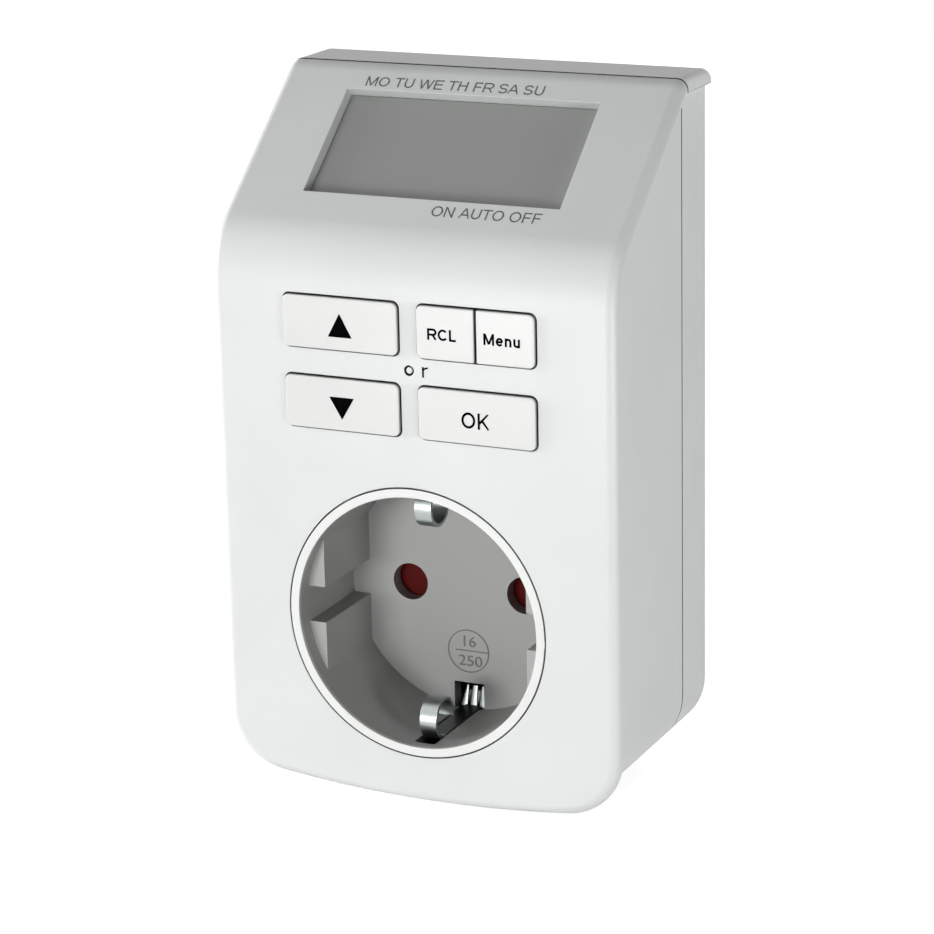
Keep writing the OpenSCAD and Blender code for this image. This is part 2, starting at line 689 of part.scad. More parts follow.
module lcd_flex() color("orange") in_case() along_x(-12, 12) {
    low = panel_point(wall + stack_t + holder_back, display_mid + window_h / 2 - 3);
    tail = [control_y + board_t, control_high - 3];
    polygon([low, low + [0.3, 0.1], [low[0] - 0.6, tail[1] + 4], [tail[0] + 0.4, tail[1] + 2],
        [tail[0] + 0.4, tail[1]], tail, tail + [0, 2.2], [low[0] - 1, tail[1] + 4.2]]);
}

// Power board and what it carries
module power_board() color("olive") in_case() difference() {
    block(about(0, power_w / 2), from(power_y, board_t), [power_low, power_high]);
    for (p = power_at) peg(p[0], p[1], power_y - 1, power_y + board_t + 1, small_r + 0.2);
}
module board_ribbon() color("lightgray") in_case()
    block(from(ribbon_x, ribbon_w), [control_y + board_t, power_y],
        from(control_high - ribbon_down, ribbon_t));
module relay() color("royalblue") in_case()
    block(from(board_edge - power_w / 2, relay_w), [power_y - relay_d, power_y],
        from(power_low + relay_up, relay_h));
module mains_capacitor() color("gold") in_case()
    block(from(power_w / 2 - board_edge - film_cap_w, film_cap_w), [power_y - film_cap_l, power_y],
        from(power_low + film_cap_up, film_cap_h));
module electrolytic_capacitor() color("midnightblue") in_case()
    peg(can_x, power_low + can_up, power_y - can_l, power_y, can_r);
module varistor() color("darkorange") in_case()
    translate([disc_x, power_y - disc_r, power_low + disc_up]) cylinder(h = disc_t, r = disc_r);
module resistors() color("tan") in_case() for (i = [0 : 2])
    translate([resistor_x + i * resistor_step, power_y - resistor_r, power_low + resistor_up])
        cylinder(h = resistor_l, r = resistor_r);
module diodes() color("black") in_case() for (i = [0, 1], j = [0, 1])
    translate([diode_x + i * diode_step, power_y - diode_r, power_low + diode_up + j * diode_rise])
        cylinder(h = diode_l, r = diode_r);
// The battery lies between the two strips of its clip, and the outer strip comes back to the board.
module backup_battery() color("silver") in_case() peg(cell_at[0], cell_at[1], cell_front, cell_back, cell_r);
module battery_clip() color("goldenrod") in_case() {
    block(about(cell_at[0], clip_half), from(clip_front, clip_t), [cell_at[1] - cell_r, clip_top]);
    block(about(cell_at[0], clip_half), [clip_front, power_y], from(clip_top, clip_t));
    block(about(cell_at[0], clip_half), from(cell_back + touch, clip_t), about(cell_at[1], cell_r));
}

// Screws: shank along Y, head towards the back
module screw(x, z, y, l, r, hr, ht) {
    peg(x, z, y - l, y + 0.01, r);
    peg(x, z, y, y + ht, hr);
}
module case_screws() color("silver") in_case() for (p = case_screws_at) both_sides()
    screw(p[0], p[1], seam_d + boss_gap + head_floor + touch, case_screw_l, screw_r, head_r, head_t);
module board_screws() color("silver") in_case() for (p = power_at) {
    peg(p[0], p[1], power_y - small_head_t, power_y - 0.01, small_head_r);
    peg(p[0], p[1], power_y - 0.02, rear_in, small_r);
}
module control_screws() color("silver") in_case() for (p = control_at)
    screw(p[0], p[1], control_y + board_t + touch, control_screw_l, small_r, small_head_r, small_head_t);
module carrier_screws() color("silver") in_case() for (a = [0, 180]) rotate([0, -a, 0])
    screw(carrier_post(0), carrier_post(1), carrier_back + touch, carrier_screw_l, small_r,
        small_head_r, small_head_t);

front_cover();
rear_cover();
socket_insert();
contact_carrier();
shutter();
shutter_spring();
live_contact();
neutral_contact();
earth_clip_top();
earth_clip_bottom();
earth_bridge();
earth_pin_sleeve();
plug_pin_live();
plug_pin_neutral();
neutral_busbar();
live_lead();
load_lead();
neutral_lead();
key_up();
key_down();
key_rcl();
key_menu();
key_ok();
reset_button();
plunger_up();
plunger_down();
plunger_rcl();
plunger_menu();
plunger_ok();
plunger_reset();
tact_switches();
control_board();
microcontroller();
crystal();
display_window();
lcd_glass();
lcd_holder();
lcd_flex();
power_board();
board_ribbon();
relay();
mains_capacitor();
electrolytic_capacitor();
varistor();
resistors();
diodes();
backup_battery();
battery_clip();
case_screws();
board_screws();
control_screws();
carrier_screws();
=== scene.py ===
import bmesh
import bpy
import numpy as np
from mathutils import Matrix, Vector
from mathutils.geometry import tessellate_polygon


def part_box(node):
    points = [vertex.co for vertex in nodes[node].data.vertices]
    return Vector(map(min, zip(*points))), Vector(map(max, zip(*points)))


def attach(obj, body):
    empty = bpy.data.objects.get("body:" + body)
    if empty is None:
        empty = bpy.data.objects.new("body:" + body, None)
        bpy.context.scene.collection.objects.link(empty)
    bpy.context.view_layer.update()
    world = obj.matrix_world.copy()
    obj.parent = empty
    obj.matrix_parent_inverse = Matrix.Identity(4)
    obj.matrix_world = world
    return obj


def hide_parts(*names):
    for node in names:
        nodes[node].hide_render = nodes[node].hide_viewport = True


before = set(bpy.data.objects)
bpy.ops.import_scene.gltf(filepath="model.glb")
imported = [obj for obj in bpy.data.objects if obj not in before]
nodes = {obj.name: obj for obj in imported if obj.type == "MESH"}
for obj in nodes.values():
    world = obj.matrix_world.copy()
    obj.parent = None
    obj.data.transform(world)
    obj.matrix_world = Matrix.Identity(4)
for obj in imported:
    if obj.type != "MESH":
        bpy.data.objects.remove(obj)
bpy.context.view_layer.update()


# ---------- front cover
# The front half of the case: one shell of white ABS, injection moulded, 2 mm thick.
# A lip runs round its face, its upper part bends back to the display panel, and its
# openings have a small radius from the tool. It is screwed to the rear cover from behind.
half_w = 32.0  # half the width over the lip
top_z = 77.7  # top of the case above the socket's axis
seam_y = 28.0  # the joint between the two covers, behind the front face
plug_end_y = 54.1  # the plug's end face, where the model's origin lies
lip_over = 1.0  # the walls behind the lip stand in by this
lip_t = 2.0
lip_r = 1.6  # rounding of the lip's front edge
wall_t = 2.0
corner_r = 9.5
arch_r = 195.0  # the bottom edge is a shallow arch
arch_z = arch_r - 28.0
lean = np.radians(50)  # the panel leans back from upright
panel_back = 27.0
bend_r = 12.0
roof_r = 5.0  # rounding between the panel and the roof
# The faces at this gap carry painted shade, which makes the dark line.
seam_gap = 0.3  # the front cover stops this short of the joint, which leaves a dark line
front_end = seam_y - seam_gap


def metres(p):
    """Millimetres from the front face and the socket's axis, turned to the model's metres."""
    return (np.asarray(p, float) - (0, plug_end_y, 0)) / 1000


def turn(start, end, steps):
    """Angles from start to end degrees in equal steps, in radians."""
    return np.radians(np.linspace(start, end, steps + 1))


def side_profile():
    """Base points (y, z) and inward directions down the front as seen from the side: the arc
    from the joint to the panel, the straight panel, and the arc to the front face."""
    tip = panel_back + roof_r * np.tan((np.pi / 2 - lean) / 2)
    a = turn(np.degrees(np.arccos((tip - front_end) / roof_r)), 50, 9)
    roof = np.stack([tip - roof_r * np.cos(a), top_z - roof_r + roof_r * np.sin(a)], 1)
    b = turn(50, 0, 24)
    low = top_z - panel_back / np.tan(lean) - bend_r * np.tan(lean / 2)
    bend = np.stack([bend_r - bend_r * np.cos(b), low + bend_r * np.sin(b)], 1)
    a = np.concatenate([[np.pi / 2], a[1:], b])
    return np.concatenate([roof, bend]), np.stack([np.cos(a), -np.sin(a)], 1)


def bottom_outline(inset, r, parallel):
    """Outline (x, z) below the bend, right to left: corner arc, shallow arch, corner arc. The
    corner circle touches both the side and the arch. parallel draws it in with fixed centres."""
    own = 0 if parallel else inset
    cx = half_w - own - r
    cz = arch_z + own - np.sqrt((arch_r - r) ** 2 - cx ** 2)
    end = np.degrees(np.arcsin(cx / (arch_r - r))) - 90
    drawn = r - (inset if parallel else 0)
    a = turn(0, end, 14)
    right = np.stack([cx + drawn * np.cos(a), cz + drawn * np.sin(a)], 1)
    a = turn(end, -180 - end, 28)[1:-1]
    big = arch_r - (inset if parallel else 0)
    arch = np.stack([big * np.cos(a), arch_z + own + big * np.sin(a)], 1)
    return np.concatenate([right, arch, right[::-1] * (-1, 1)])


profile, inward = side_profile()


def lip_row(inset, depth, r=corner_r, parallel=True, y=None):
    """One line round the cover: inset is how far it lies inside the outline, depth how far
    behind the front surface. y puts the whole line in one plane instead."""
    side = profile + depth * inward
    side[:, 0] = np.minimum(side[:, 0], front_end)
    right = np.column_stack([np.full(len(side), half_w - inset), side])
    low = bottom_outline(inset, r, parallel)
    low = np.column_stack([low[:, 0], np.full(len(low), depth), low[:, 1]])
    row = np.concatenate([right, low, right[::-1] * (-1, 1, 1)])
    if y is not None:
        row[:, 1] = y
    return row


def net(rows, closed=False):
    """Quads between neighbouring lines of points; closed joins each line's ends as well."""
    rows = np.asarray(rows)
    n, m = rows.shape[:2]
    index = np.arange(n * m).reshape(n, m)
    if closed:
        index = np.concatenate([index, index[:, :1]], 1)
    quads = np.stack([index[:-1, :-1], index[1:, :-1], index[1:, 1:], index[:-1, 1:]], -1)
    return rows.reshape(-1, 3), quads.reshape(-1, 4).tolist()


def fill(*loops):
    """Triangles of the flat face between an outer loop of points and the loops of its holes."""
    triangles = tessellate_polygon([[Vector(p) for p in loop] for loop in loops])
    return np.concatenate(loops), [list(t) for t in triangles]


def box_loop(w, h, r, steps=6):
    """Rectangle w by h with corners of radius r, as (x, z) points."""
    a = turn(0, 90, steps)
    arc = r * np.stack([np.cos(a), np.sin(a)], 1) + (w / 2 - r, h / 2 - r)
    return np.concatenate([arc, arc[::-1] * (-1, 1), -arc, arc[::-1] * (1, -1)])


def circle_loop(r, steps=96):
    """Circle of radius r as (x, z) points."""
    a = turn(0, 360, steps)[:-1]
    return r * np.stack([np.cos(a), np.sin(a)], 1)


def rim(shape, place, edge, depth, steps=4):
    """Wall of an opening: shape(grow) is its loop drawn out by grow, place(loop, depth) sets it
    in the surface. A quarter circle of radius edge leads from the face into the wall."""
    a = turn(0, 90, steps)
    grow = np.append(edge * (1 - np.sin(a)), 0)
    down = np.append(edge * (1 - np.cos(a)), depth)
    return [place(shape(g), d) for g, d in zip(grow, down)]


def make_piece(name, patches, sharp=32):
    """One object from patches of (points in mm, faces): equal points are merged, faces are
    turned outwards, and edges sharper than the angle stay sharp."""
    points = np.concatenate([metres(p) for p, _ in patches])
    starts = np.cumsum([0] + [len(p) for p, _ in patches])
    faces = [[i + s for i in f] for (_, fs), s in zip(patches, starts) for f in fs]
    mesh = bpy.data.meshes.new(name)
    mesh.from_pydata(points, [], faces)
    return finish_mesh(name, mesh, sharp)


def add_object(name, data):
    """Puts a new object with this mesh, text, lamp or camera in the scene."""
    thing = bpy.data.objects.new(name, data)
    bpy.context.collection.objects.link(thing)
    return thing


def even_shading(piece):
    """Weights the shading by the faces' areas, so that flats stay flat beside rounded edges."""
    even = piece.modifiers.new("even shading on the flats", "WEIGHTED_NORMAL")
    even.keep_sharp = True
    even.weight = 100


def finish_mesh(name, mesh, sharp, merge=2e-7):
    """Merges equal points, turns the faces outwards, smooths, and adds the object."""
    bm = bmesh.new()
    bm.from_mesh(mesh)
    bmesh.ops.remove_doubles(bm, verts=bm.verts, dist=merge)
    bmesh.ops.dissolve_degenerate(bm, edges=bm.edges, dist=merge)
    bmesh.ops.recalc_face_normals(bm, faces=bm.faces)
    bm.to_mesh(mesh)
    bm.free()
    mesh.shade_smooth()
    mesh.set_sharp_from_angle(angle=np.radians(sharp))
    piece = add_object(name, mesh)
    even_shading(piece)
    return piece


key_w = 18.8  # openings for the keys
key_h = 8.2
key_r = 1.1  # their corners
key_x = 10.75
key_rows = (44.4, 32.4)
reset_z = 38.4
reset_hole_r = 0.78
ring_hole_r = 20.83
display_w = 40.8
display_h = 19.6
display_down = 15.0  # the opening's middle, down the panel from its top edge
display_draft = 0.35  # its sides lean in by this over the wall's thickness


def on_front(x=0.0, z=0.0):
    """Places a loop of (x, z) points at a depth behind the front face, with its middle at x, z."""
    def place(loop, depth):
        return np.column_stack([loop[:, 0] + x, np.full(len(loop), depth), loop[:, 1] + z])
    return place


def panel_place(loop, depth):
    """Places a loop at a depth behind the panel. Its second value runs up the slope to the
    panel's top edge, where it is 0."""
    s = -loop[:, 1]
    return np.column_stack([
        loop[:, 0],
        panel_back - s * np.sin(lean) + depth * np.cos(lean),
        top_z - s * np.cos(lean) - depth * np.sin(lean)])


def on_panel(loop, depth):
    """Places a loop about the middle of the display's opening."""
    return panel_place(loop - (0, display_down), depth)


rims = [rim(lambda g: box_loop(key_w + 2 * g, key_h + 2 * g, key_r + g), on_front(x, z), 0.1, wall_t)
        for x in (-key_x, key_x) for z in key_rows]
rims.append(rim(lambda g: circle_loop(ring_hole_r + g, 160), on_front(), 0.12, wall_t))
rims.append(rim(lambda g: circle_loop(reset_hole_r + g, 24), on_front(0, reset_z), 0.08, wall_t))
display_rim = rim(lambda g: box_loop(display_w + 2 * g, display_h + 2 * g, 0.1 + g, 3),
                  on_panel, 0.05, wall_t)
display_rim[-1] = on_panel(box_loop(display_w - 2 * display_draft, display_h, 0.1, 3), wall_t)

a = turn(0, 90, 10)
lip_rows = [lip_row(lip_r * (1 - np.sin(t)), lip_r * (1 - np.cos(t))) for t in a]
lip_rows += [lip_row(i, d) for i, d in ((0, 1.85), (0.05, 1.95), (0.15, lip_t))]  # its back edge
lip_rows += [lip_row(lip_over, lip_t, parallel=False)]
lip_rows += [lip_row(lip_over, lip_t, parallel=False, y=front_end)]
inner = dict(inset=lip_over + wall_t, depth=wall_t, r=corner_r - wall_t, parallel=False)
lip_rows += [lip_row(**inner, y=front_end), lip_row(**inner)]
lip_rows = np.array(lip_rows)

patches = [net(lip_rows)]
ends = len(profile)
for row, holes in ((lip_rows[0], 0), (lip_rows[-1], -1)):
    left = row[::-1]
    panel = slice(9, 11)  # the straight panel lies between these two points
    for part in (slice(0, 10), slice(10, ends)):
        patches.append(net([row[part], left[part]]))
    patches.append(fill(np.concatenate([row[panel], left[panel][::-1]]), display_rim[holes]))
    patches.append(fill(row[ends - 1:len(row) - ends + 1], *[r[holes] for r in rims]))
patches += [net(r, closed=True) for r in rims + [display_rim]]
for side in (0, -1):
    section = lip_rows[:, side]
    patches.append((section, [list(range(len(section)))]))
patches.append((lip_rows[[0, 0, -1, -1], [0, -1, -1, 0]], [[0, 1, 2, 3]]))
front = make_piece("front_shell", patches)


def linear(hexa, alpha=1.0):
    """sRGB hex colour as the linear RGBA that a shader wants."""
    c = np.array([int(hexa[i:i + 2], 16) for i in (1, 3, 5)]) / 255
    return (*np.where(c <= 0.04045, c / 12.92, ((c + 0.055) / 1.055) ** 2.4), alpha)


def add(tree, kind, inputs=None, **settings):
    """Adds a node, sets its settings, and fills its sockets with values or links."""
    node = tree.nodes.new(kind)
    for name, value in settings.items():
        setattr(node, name, value)
    for socket, value in (inputs or {}).items():
        if isinstance(value, bpy.types.NodeSocket):
            tree.links.new(value, node.inputs[socket])
        else:
            node.inputs[socket].default_value = value
    return node


def mark_gaps(piece, share):
    """Marks the faces that lie in a narrow gap, where shade is painted. share(middle, normal) gives each
    face's mark from its middle in mm and its normal: 0 in the open and 1 inside, in full painted shade."""
    mesh = piece.data
    middle, normal = np.zeros(len(mesh.polygons) * 3), np.zeros(len(mesh.polygons) * 3)
    mesh.polygons.foreach_get("center", middle)
    mesh.polygons.foreach_get("normal", normal)
    mark = mesh.attributes.new("gap", "FLOAT", "FACE")
    value = share(middle.reshape(-1, 3) * 1000 + (0, plug_end_y, 0), normal.reshape(-1, 3))
    mark.data.foreach_set("value", np.asarray(value, np.float32))


def shaded(t, colour, gap):
    """Paints shade: mixes a material's colour, a value or a link, to the shade's colour by the faces'
    marks.
    """
    mark = add(t, "ShaderNodeAttribute", attribute_name="gap")
    mix = add(t, "ShaderNodeMix", {0: mark.outputs["Fac"], 6: colour, 7: linear(gap)}, data_type="RGBA")
    t.links.new(mix.outputs[2], t.nodes["Principled BSDF"].inputs["Base Color"])


def new_finish(name):
    """A new material, its nodes, its shader, and the place on the piece that patterns read."""
    mat = bpy.data.materials.new(name)
    mat.use_nodes = True
    t = mat.node_tree
    return mat, t, t.nodes["Principled BSDF"], add(t, "ShaderNodeTexCoord").outputs["Object"]


def moulded(name, hexa, grain_mm=0.25, depth_mm=0.004, roughness=0.42, tint=0.02,
            painted_recess_shade=None, recess_shade_from=0.0, gap=None):
    """Moulded plastic: an even colour with a faint drift from the melt's flow, and the fine
    grain that a spark-eroded tool leaves, as a bump of grain_mm across. Its last two colours
    are painted shade: one for what lies deeper than a given depth behind the front face, the
    other for the faces marked as lying in a gap."""
    mat, t, shader, place = new_finish(name)
    drift = add(t, "ShaderNodeTexNoise", {"Vector": place, "Scale": 60.0, "Detail": 2.0})
    c = np.array(linear(hexa)[:3])
    ramp = add(t, "ShaderNodeValToRGB", {"Fac": drift.outputs["Fac"]})
    for end, at, share in zip(ramp.color_ramp.elements, (0.3, 0.7), (1 - tint, 1 + tint)):
        end.position = at
        end.color = (*np.minimum(c * share, 1), 1)
    colour = ramp.outputs["Color"]
    if painted_recess_shade:
        depth = add(t, "ShaderNodeSeparateXYZ", {"Vector": place}).outputs["Y"]
        edge, blend = (recess_shade_from - plug_end_y) / 1000, 0.0002
        far = add(t, "ShaderNodeMapRange", {"Value": depth, "From Min": edge - blend,
                                            "From Max": edge + blend})
        colour = add(t, "ShaderNodeMix", {0: far.outputs["Result"], 6: colour, 7: linear(painted_recess_shade)},
                     data_type="RGBA").outputs[2]
    grain = add(t, "ShaderNodeTexNoise", {"Vector": place, "Scale": 1000 / grain_mm / 2, "Detail": 3.0})
    bump = add(t, "ShaderNodeBump", {"Height": grain.outputs["Fac"], "Strength": 0.35,
                                     "Distance": depth_mm / 1000})
    rough = add(t, "ShaderNodeMapRange", {"Value": grain.outputs["Fac"], "To Min": roughness - 0.05,
                                          "To Max": roughness + 0.05})
    t.links.new(colour, shader.inputs["Base Color"])
    if gap:
        shaded(t, colour, gap)
    t.links.new(rough.outputs["Result"], shader.inputs["Roughness"])
    t.links.new(bump.outputs["Normal"], shader.inputs["Normal"])
    return mat


def metal(name, hexa, roughness=0.25, scratch_mm=0.08, turned=False, gap=None):
    """Plated or bare metal: its roughness varies with fine marks from rolling and handling.
    turned adds the rings that a lathe leaves round the y axis, 0.75 mm apart, which is drawn
    coarser than real so that they show. The last colour is painted shade, on the faces marked as lying in
    a gap."""
    mat, t, shader, place = new_finish(name)
    marks = add(t, "ShaderNodeTexNoise", {"Vector": place, "Scale": 1000 / scratch_mm / 4, "Detail": 4.0})
    rough = add(t, "ShaderNodeMapRange", {"Value": marks.outputs["Fac"], "To Min": roughness * 0.88,
                                          "To Max": roughness * 1.12})
    height = marks.outputs["Fac"]
    if turned:
        height = add(t, "ShaderNodeTexWave", {"Vector": place, "Scale": 1000 / 0.12 / 20},
                     bands_direction="Y").outputs["Fac"]
    bump = add(t, "ShaderNodeBump", {"Height": height, "Strength": 0.1, "Distance": 1e-6})
    t.links.new(rough.outputs["Result"], shader.inputs["Roughness"])
    t.links.new(bump.outputs["Normal"], shader.inputs["Normal"])
    shader.inputs["Metallic"].default_value = 1
    shader.inputs["Base Color"].default_value = linear(hexa)
    if gap:
        shaded(t, linear(hexa), gap)
    return mat


def dress(piece, mat):
    """Gives a piece or a CAD node one material."""
    piece.data.materials.clear()
    piece.data.materials.append(mat)


def front_gaps(m, n):
    """Painted shade: 1 on the walls of the openings for the keys and the socket and on the end at
    the joint, and 0.35 on the walls of the display's opening."""
    wall = (np.abs(n[:, 1]) < 0.2) & (m[:, 1] > 0.12) & (m[:, 2] < 50) & (np.abs(m[:, 0]) < 28)
    across = np.abs(n @ (0, -np.cos(lean), np.sin(lean))) < 0.3
    display = across & (m[:, 2] > 55) & (np.abs(m[:, 0]) < 21)
    return np.where(wall | (m[:, 1] > front_end - 0.01), 1, np.where(display, 0.35, 0))


# ABS from a spark-eroded tool: an even, cool white with a broad soft shine. The faces in the
# gaps between the pieces are painted a dark grey as shade.
gap_grey = "#3C3C3B"
case_white = moulded("moulded_white_abs", "#E6E9E7", gap=gap_grey)
mark_gaps(front, front_gaps)
dress(front, case_white)
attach(front, "case")
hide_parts("front_cover")


# ---------- rear cover
# The back half of the case with the hood over its top and the hollow body of the plug,
# moulded in one with it. It carries the boards and takes the four case screws in wells.


def dressed_copy(name, node, radii, segments=3, sharp=32, flat=0.3, least=25):
    """A CAD node's surface with its edges rounded. radii(middle) gives each edge's radius in mm
    from its middle in mm, for the edges whose faces meet at more than the least angle."""
    mesh = nodes[node].data.copy()
    bm = bmesh.new()
    bm.from_mesh(mesh)
    bmesh.ops.remove_doubles(bm, verts=bm.verts, dist=1e-6)
    bmesh.ops.dissolve_degenerate(bm, edges=bm.edges, dist=1e-6)
    bmesh.ops.dissolve_limit(bm, angle_limit=np.radians(flat), verts=bm.verts, edges=bm.edges,
                             delimit={"NORMAL"})
    bm.to_mesh(mesh)
    angle = np.degrees([e.calc_face_angle(0) for e in bm.edges])
    bm.free()
    co = np.zeros(len(mesh.vertices) * 3)
    mesh.vertices.foreach_get("co", co)
    ends = np.zeros(len(mesh.edges) * 2, int)
    mesh.edges.foreach_get("vertices", ends)
    middle = co.reshape(-1, 3)[ends.reshape(-1, 2)].mean(1) * 1000 + (0, plug_end_y, 0)
    radius = np.where(angle > least, radii(middle), 0)
    widest = max(radius.max(), 1e-6)
    weight = mesh.attributes.new("bevel_weight_edge", "FLOAT", "EDGE")
    weight.data.foreach_set("value", (radius / widest).astype(np.float32))
    mesh.shade_smooth()
    mesh.set_sharp_from_angle(angle=np.radians(sharp))
    corners = np.zeros(len(mesh.polygons), int)
    mesh.polygons.foreach_get("loop_total", corners)
    mesh.polygons.foreach_set("use_smooth", corners <= 4)  # faces with more corners are all flat
    piece = add_object(name, mesh)
    round_off = piece.modifiers.new("rounded edges", "BEVEL")
    round_off.limit_method = "WEIGHT"
    round_off.width = widest / 1000
    round_off.segments = segments
    round_off.harden_normals = False
    even_shading(piece)
    return piece


back_y = 37.3  # the case's back face


def rear_edges(m):
    """0.8 mm round the back and its wells and 2.4 mm along the roof's back edge, 0.3 mm where
    the plug stands on the back and round its end. The edges at the joint stay sharp."""
    back, end = np.abs(m[:, 1] - back_y) < 0.01, np.abs(m[:, 1] - plug_end_y) < 0.01
    plug, roof = np.hypot(m[:, 0], m[:, 2]) < 20, m[:, 2] > top_z - 1
    return np.select([end, back & roof, back & plug, back], [0.3, 2.4, 0.3, 0.8], 0.0)


rear = dressed_copy("rear_shell", "rear_cover", rear_edges)
# Painted shade on the rear cover's face at the joint, which darkens the seam's line.
mark_gaps(rear, lambda m, n: (np.abs(m[:, 1] - seam_y) < 0.02) & (n[:, 1] < -0.9))
dress(rear, case_white)
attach(rear, "case")
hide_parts("rear_cover")


# ---------- socket insert
# The round insert with the socket's recess: one moulding of white polyamide, held by its
# flange behind the front cover. Its rim is smooth, and the grey of its recess is painted shade.
def insert_edges(m):
    """0.12 mm on the rim's outer edge, 0.1 mm at its mouth, 0.15 mm on the edges inside."""
    y, r = m[:, 1], np.hypot(m[:, 0], m[:, 2])
    out = np.where(np.abs(y) < 0.01, np.where(r > 20, 0.12, 0.1), 0.0)
    return np.where((y > 0.1) & (y < 17.8) & (r < 19.29), 0.15, out)


cup_r = 19.3
cup_d = 17.9  # depth of the recess's floor
insert = dressed_copy("socket_recess", "socket_insert", insert_edges)
# Polyamide is a touch warmer than the case. The rim stays white; the recess is painted grey as shade, and
# the gaps' faces carry the dark painted shade.
socket_white = moulded("moulded_white_polyamide", "#F1F2F0", roughness=0.36, grain_mm=0.3, depth_mm=0.002,
                       painted_recess_shade="#B9BAB8", recess_shade_from=0.6, gap=gap_grey)


def insert_gaps(m, n):
    """Painted shade: 0.8 on the outside of the rim, 0.3 on the recess's walls, which face each other,
    rising to 0.55 on the left to paint that side darker, and 0.65 on the walls of the pin holes and
    windows in its floor."""
    r, upright = np.hypot(m[:, 0], m[:, 2]), np.abs(n[:, 1]) < 0.5
    painted_recess_shade = np.where(m[:, 1] < cup_d, 0.3 + 0.25 * np.clip(-m[:, 0] / cup_r, 0, 1), 0.65)
    return np.where(upright & (r > 20.4), 0.8, np.where(upright & (r < 19.4), painted_recess_shade, 0))


mark_gaps(insert, insert_gaps)
dress(insert, socket_white)
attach(insert, "case")
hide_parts("socket_insert")


def raised_words(name, words, x, z, lift, thick):
    """Letters as a thin solid. The outline of the words is stretched to fill x and z, which are
    (from, to) in mm, and set thick above a surface at depth lift."""
    curve = bpy.data.curves.new(name, "FONT")
    curve.body = words
    curve.extrude = 0.5
    curve.resolution_u = 6
    text = add_object(name, curve)
    bpy.context.view_layer.update()
    mesh = bpy.data.meshes.new_from_object(text)
    bpy.data.objects.remove(text)
    co = np.zeros(len(mesh.vertices) * 3)
    mesh.vertices.foreach_get("co", co)
    co = co.reshape(-1, 3)
    low, high = co.min(0), co.max(0)
    across, up, out = ((co - low) / (high - low)).T
    points = np.column_stack([x[0] + across * (x[1] - x[0]), lift - thick * out,
                              z[0] + up * (z[1] - z[0])])
    mesh.vertices.foreach_set("co", metres(points).ravel())
    mesh.update()
    return finish_mesh(name, mesh, 40, merge=1e-7)


def ring_line(r, width, lift, thick, at=(0, 0), steps=96):
    """A raised circular line: a rectangle width by thick carried round a circle of radius r."""
    a = turn(0, 360, steps)[:-1]
    loops = [np.column_stack([at[0] + q * np.cos(a), np.full(steps, y), at[1] + q * np.sin(a)])
             for q, y in ((r, lift), (r, lift - thick), (r - width, lift - thick), (r - width, lift))]
    return net(loops + loops[:1], closed=True)


def flat_plate(corners, lift, thick):
    """A thin plate: its (x, z) corners in order, from depth lift outwards by thick."""
    c = np.asarray(corners, float)
    back = np.column_stack([c[:, 0], np.full(len(c), lift), c[:, 1]])
    front = back - (0, thick, 0)
    return [net([back, front], closed=True), fill(back), fill(front)]


mark_from = cup_d + 0.02  # the rating starts just inside the recess's floor
mark_t = 0.12
mark_z = -10.03
# Painted shade: the raised rating is coloured a darker grey than the floor, for the shade that its edges
# hold.
rating_shade_grey = moulded("moulded_polyamide_mark_painted_shade", "#7F807E", roughness=0.45, grain_mm=0.3, depth_mm=0.001)
circle = make_piece("rating_circle", [ring_line(3.45, 0.17, mark_from, mark_t, at=(0, mark_z))]
                    + flat_plate([(-2.13, mark_z), (3.36, mark_z), (3.36, -9.88), (-2.13, -9.88)],
                                 mark_from, mark_t))
amps = raised_words("rating_16", "16", (-0.77, 1.26), (-9.3, -7.6), mark_from, mark_t)
volts = raised_words("rating_250", "250", (-1.67, 2.27), (-12.4, -10.72), mark_from, mark_t)
for piece in (circle, amps, volts):
    dress(piece, rating_shade_grey)
    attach(piece, "case")


# ---------- keys
# Five caps of smooth white ABS and the pin of the reset key. Each has a flange behind the
# front cover that keeps it in, and a stem that presses a switch on the control board.
def keyed_loop(w, h, radii, inset, at=(0, 0), steps=5):
    """Rectangle w by h drawn in by inset, with a radius for each corner, as (x, z) points."""
    out = []
    for k, r in enumerate(radii):
        r = max(r - inset, 0.06)
        a = turn(90 * k, 90 * k + 90, steps)
        sx, sz = ((1, 1), (-1, 1), (-1, -1), (1, -1))[k]
        c = (sx * (w / 2 - inset - r), sz * (h / 2 - inset - r))
        out.append(r * np.stack([np.cos(a), np.sin(a)], 1) + c)
    return np.concatenate(out) + at


def lathe(profile, at=(0, 0), steps=32):
    """A turned shape: profile is (radius, depth) points, carried round an axis at (x, z)."""
    p = np.asarray(profile, float)
    a = turn(0, 360, steps)[:-1]
    return net(np.stack([at[0] + p[:, :1] * np.cos(a), np.repeat(p[:, 1:], steps, 1),
                         at[1] + p[:, :1] * np.sin(a)], -1), closed=True)


film = 0.03  # thickness of the printed ink, which is the key's highest point
key_proud = 0.6 - film
key_gap = 0.2
key_round = 0.2  # rounding of a cap's front edge
flange_y = 2.2
flange_t = 0.8
over = 0.7  # the flange stands out past the cap by this
stem_r = 1.2
stem_end = 4.05  # where the stem meets the switch's plunger
full_w = key_w - 2 * key_gap
cap_h = key_h - 2 * key_gap
split_gap = 0.37
half_cap = (full_w - split_gap) / 2
half_off = (half_cap + split_gap) / 2
wide, tight = key_r - key_gap, 0.25  # corner radii: in the cover's opening, and beside the split

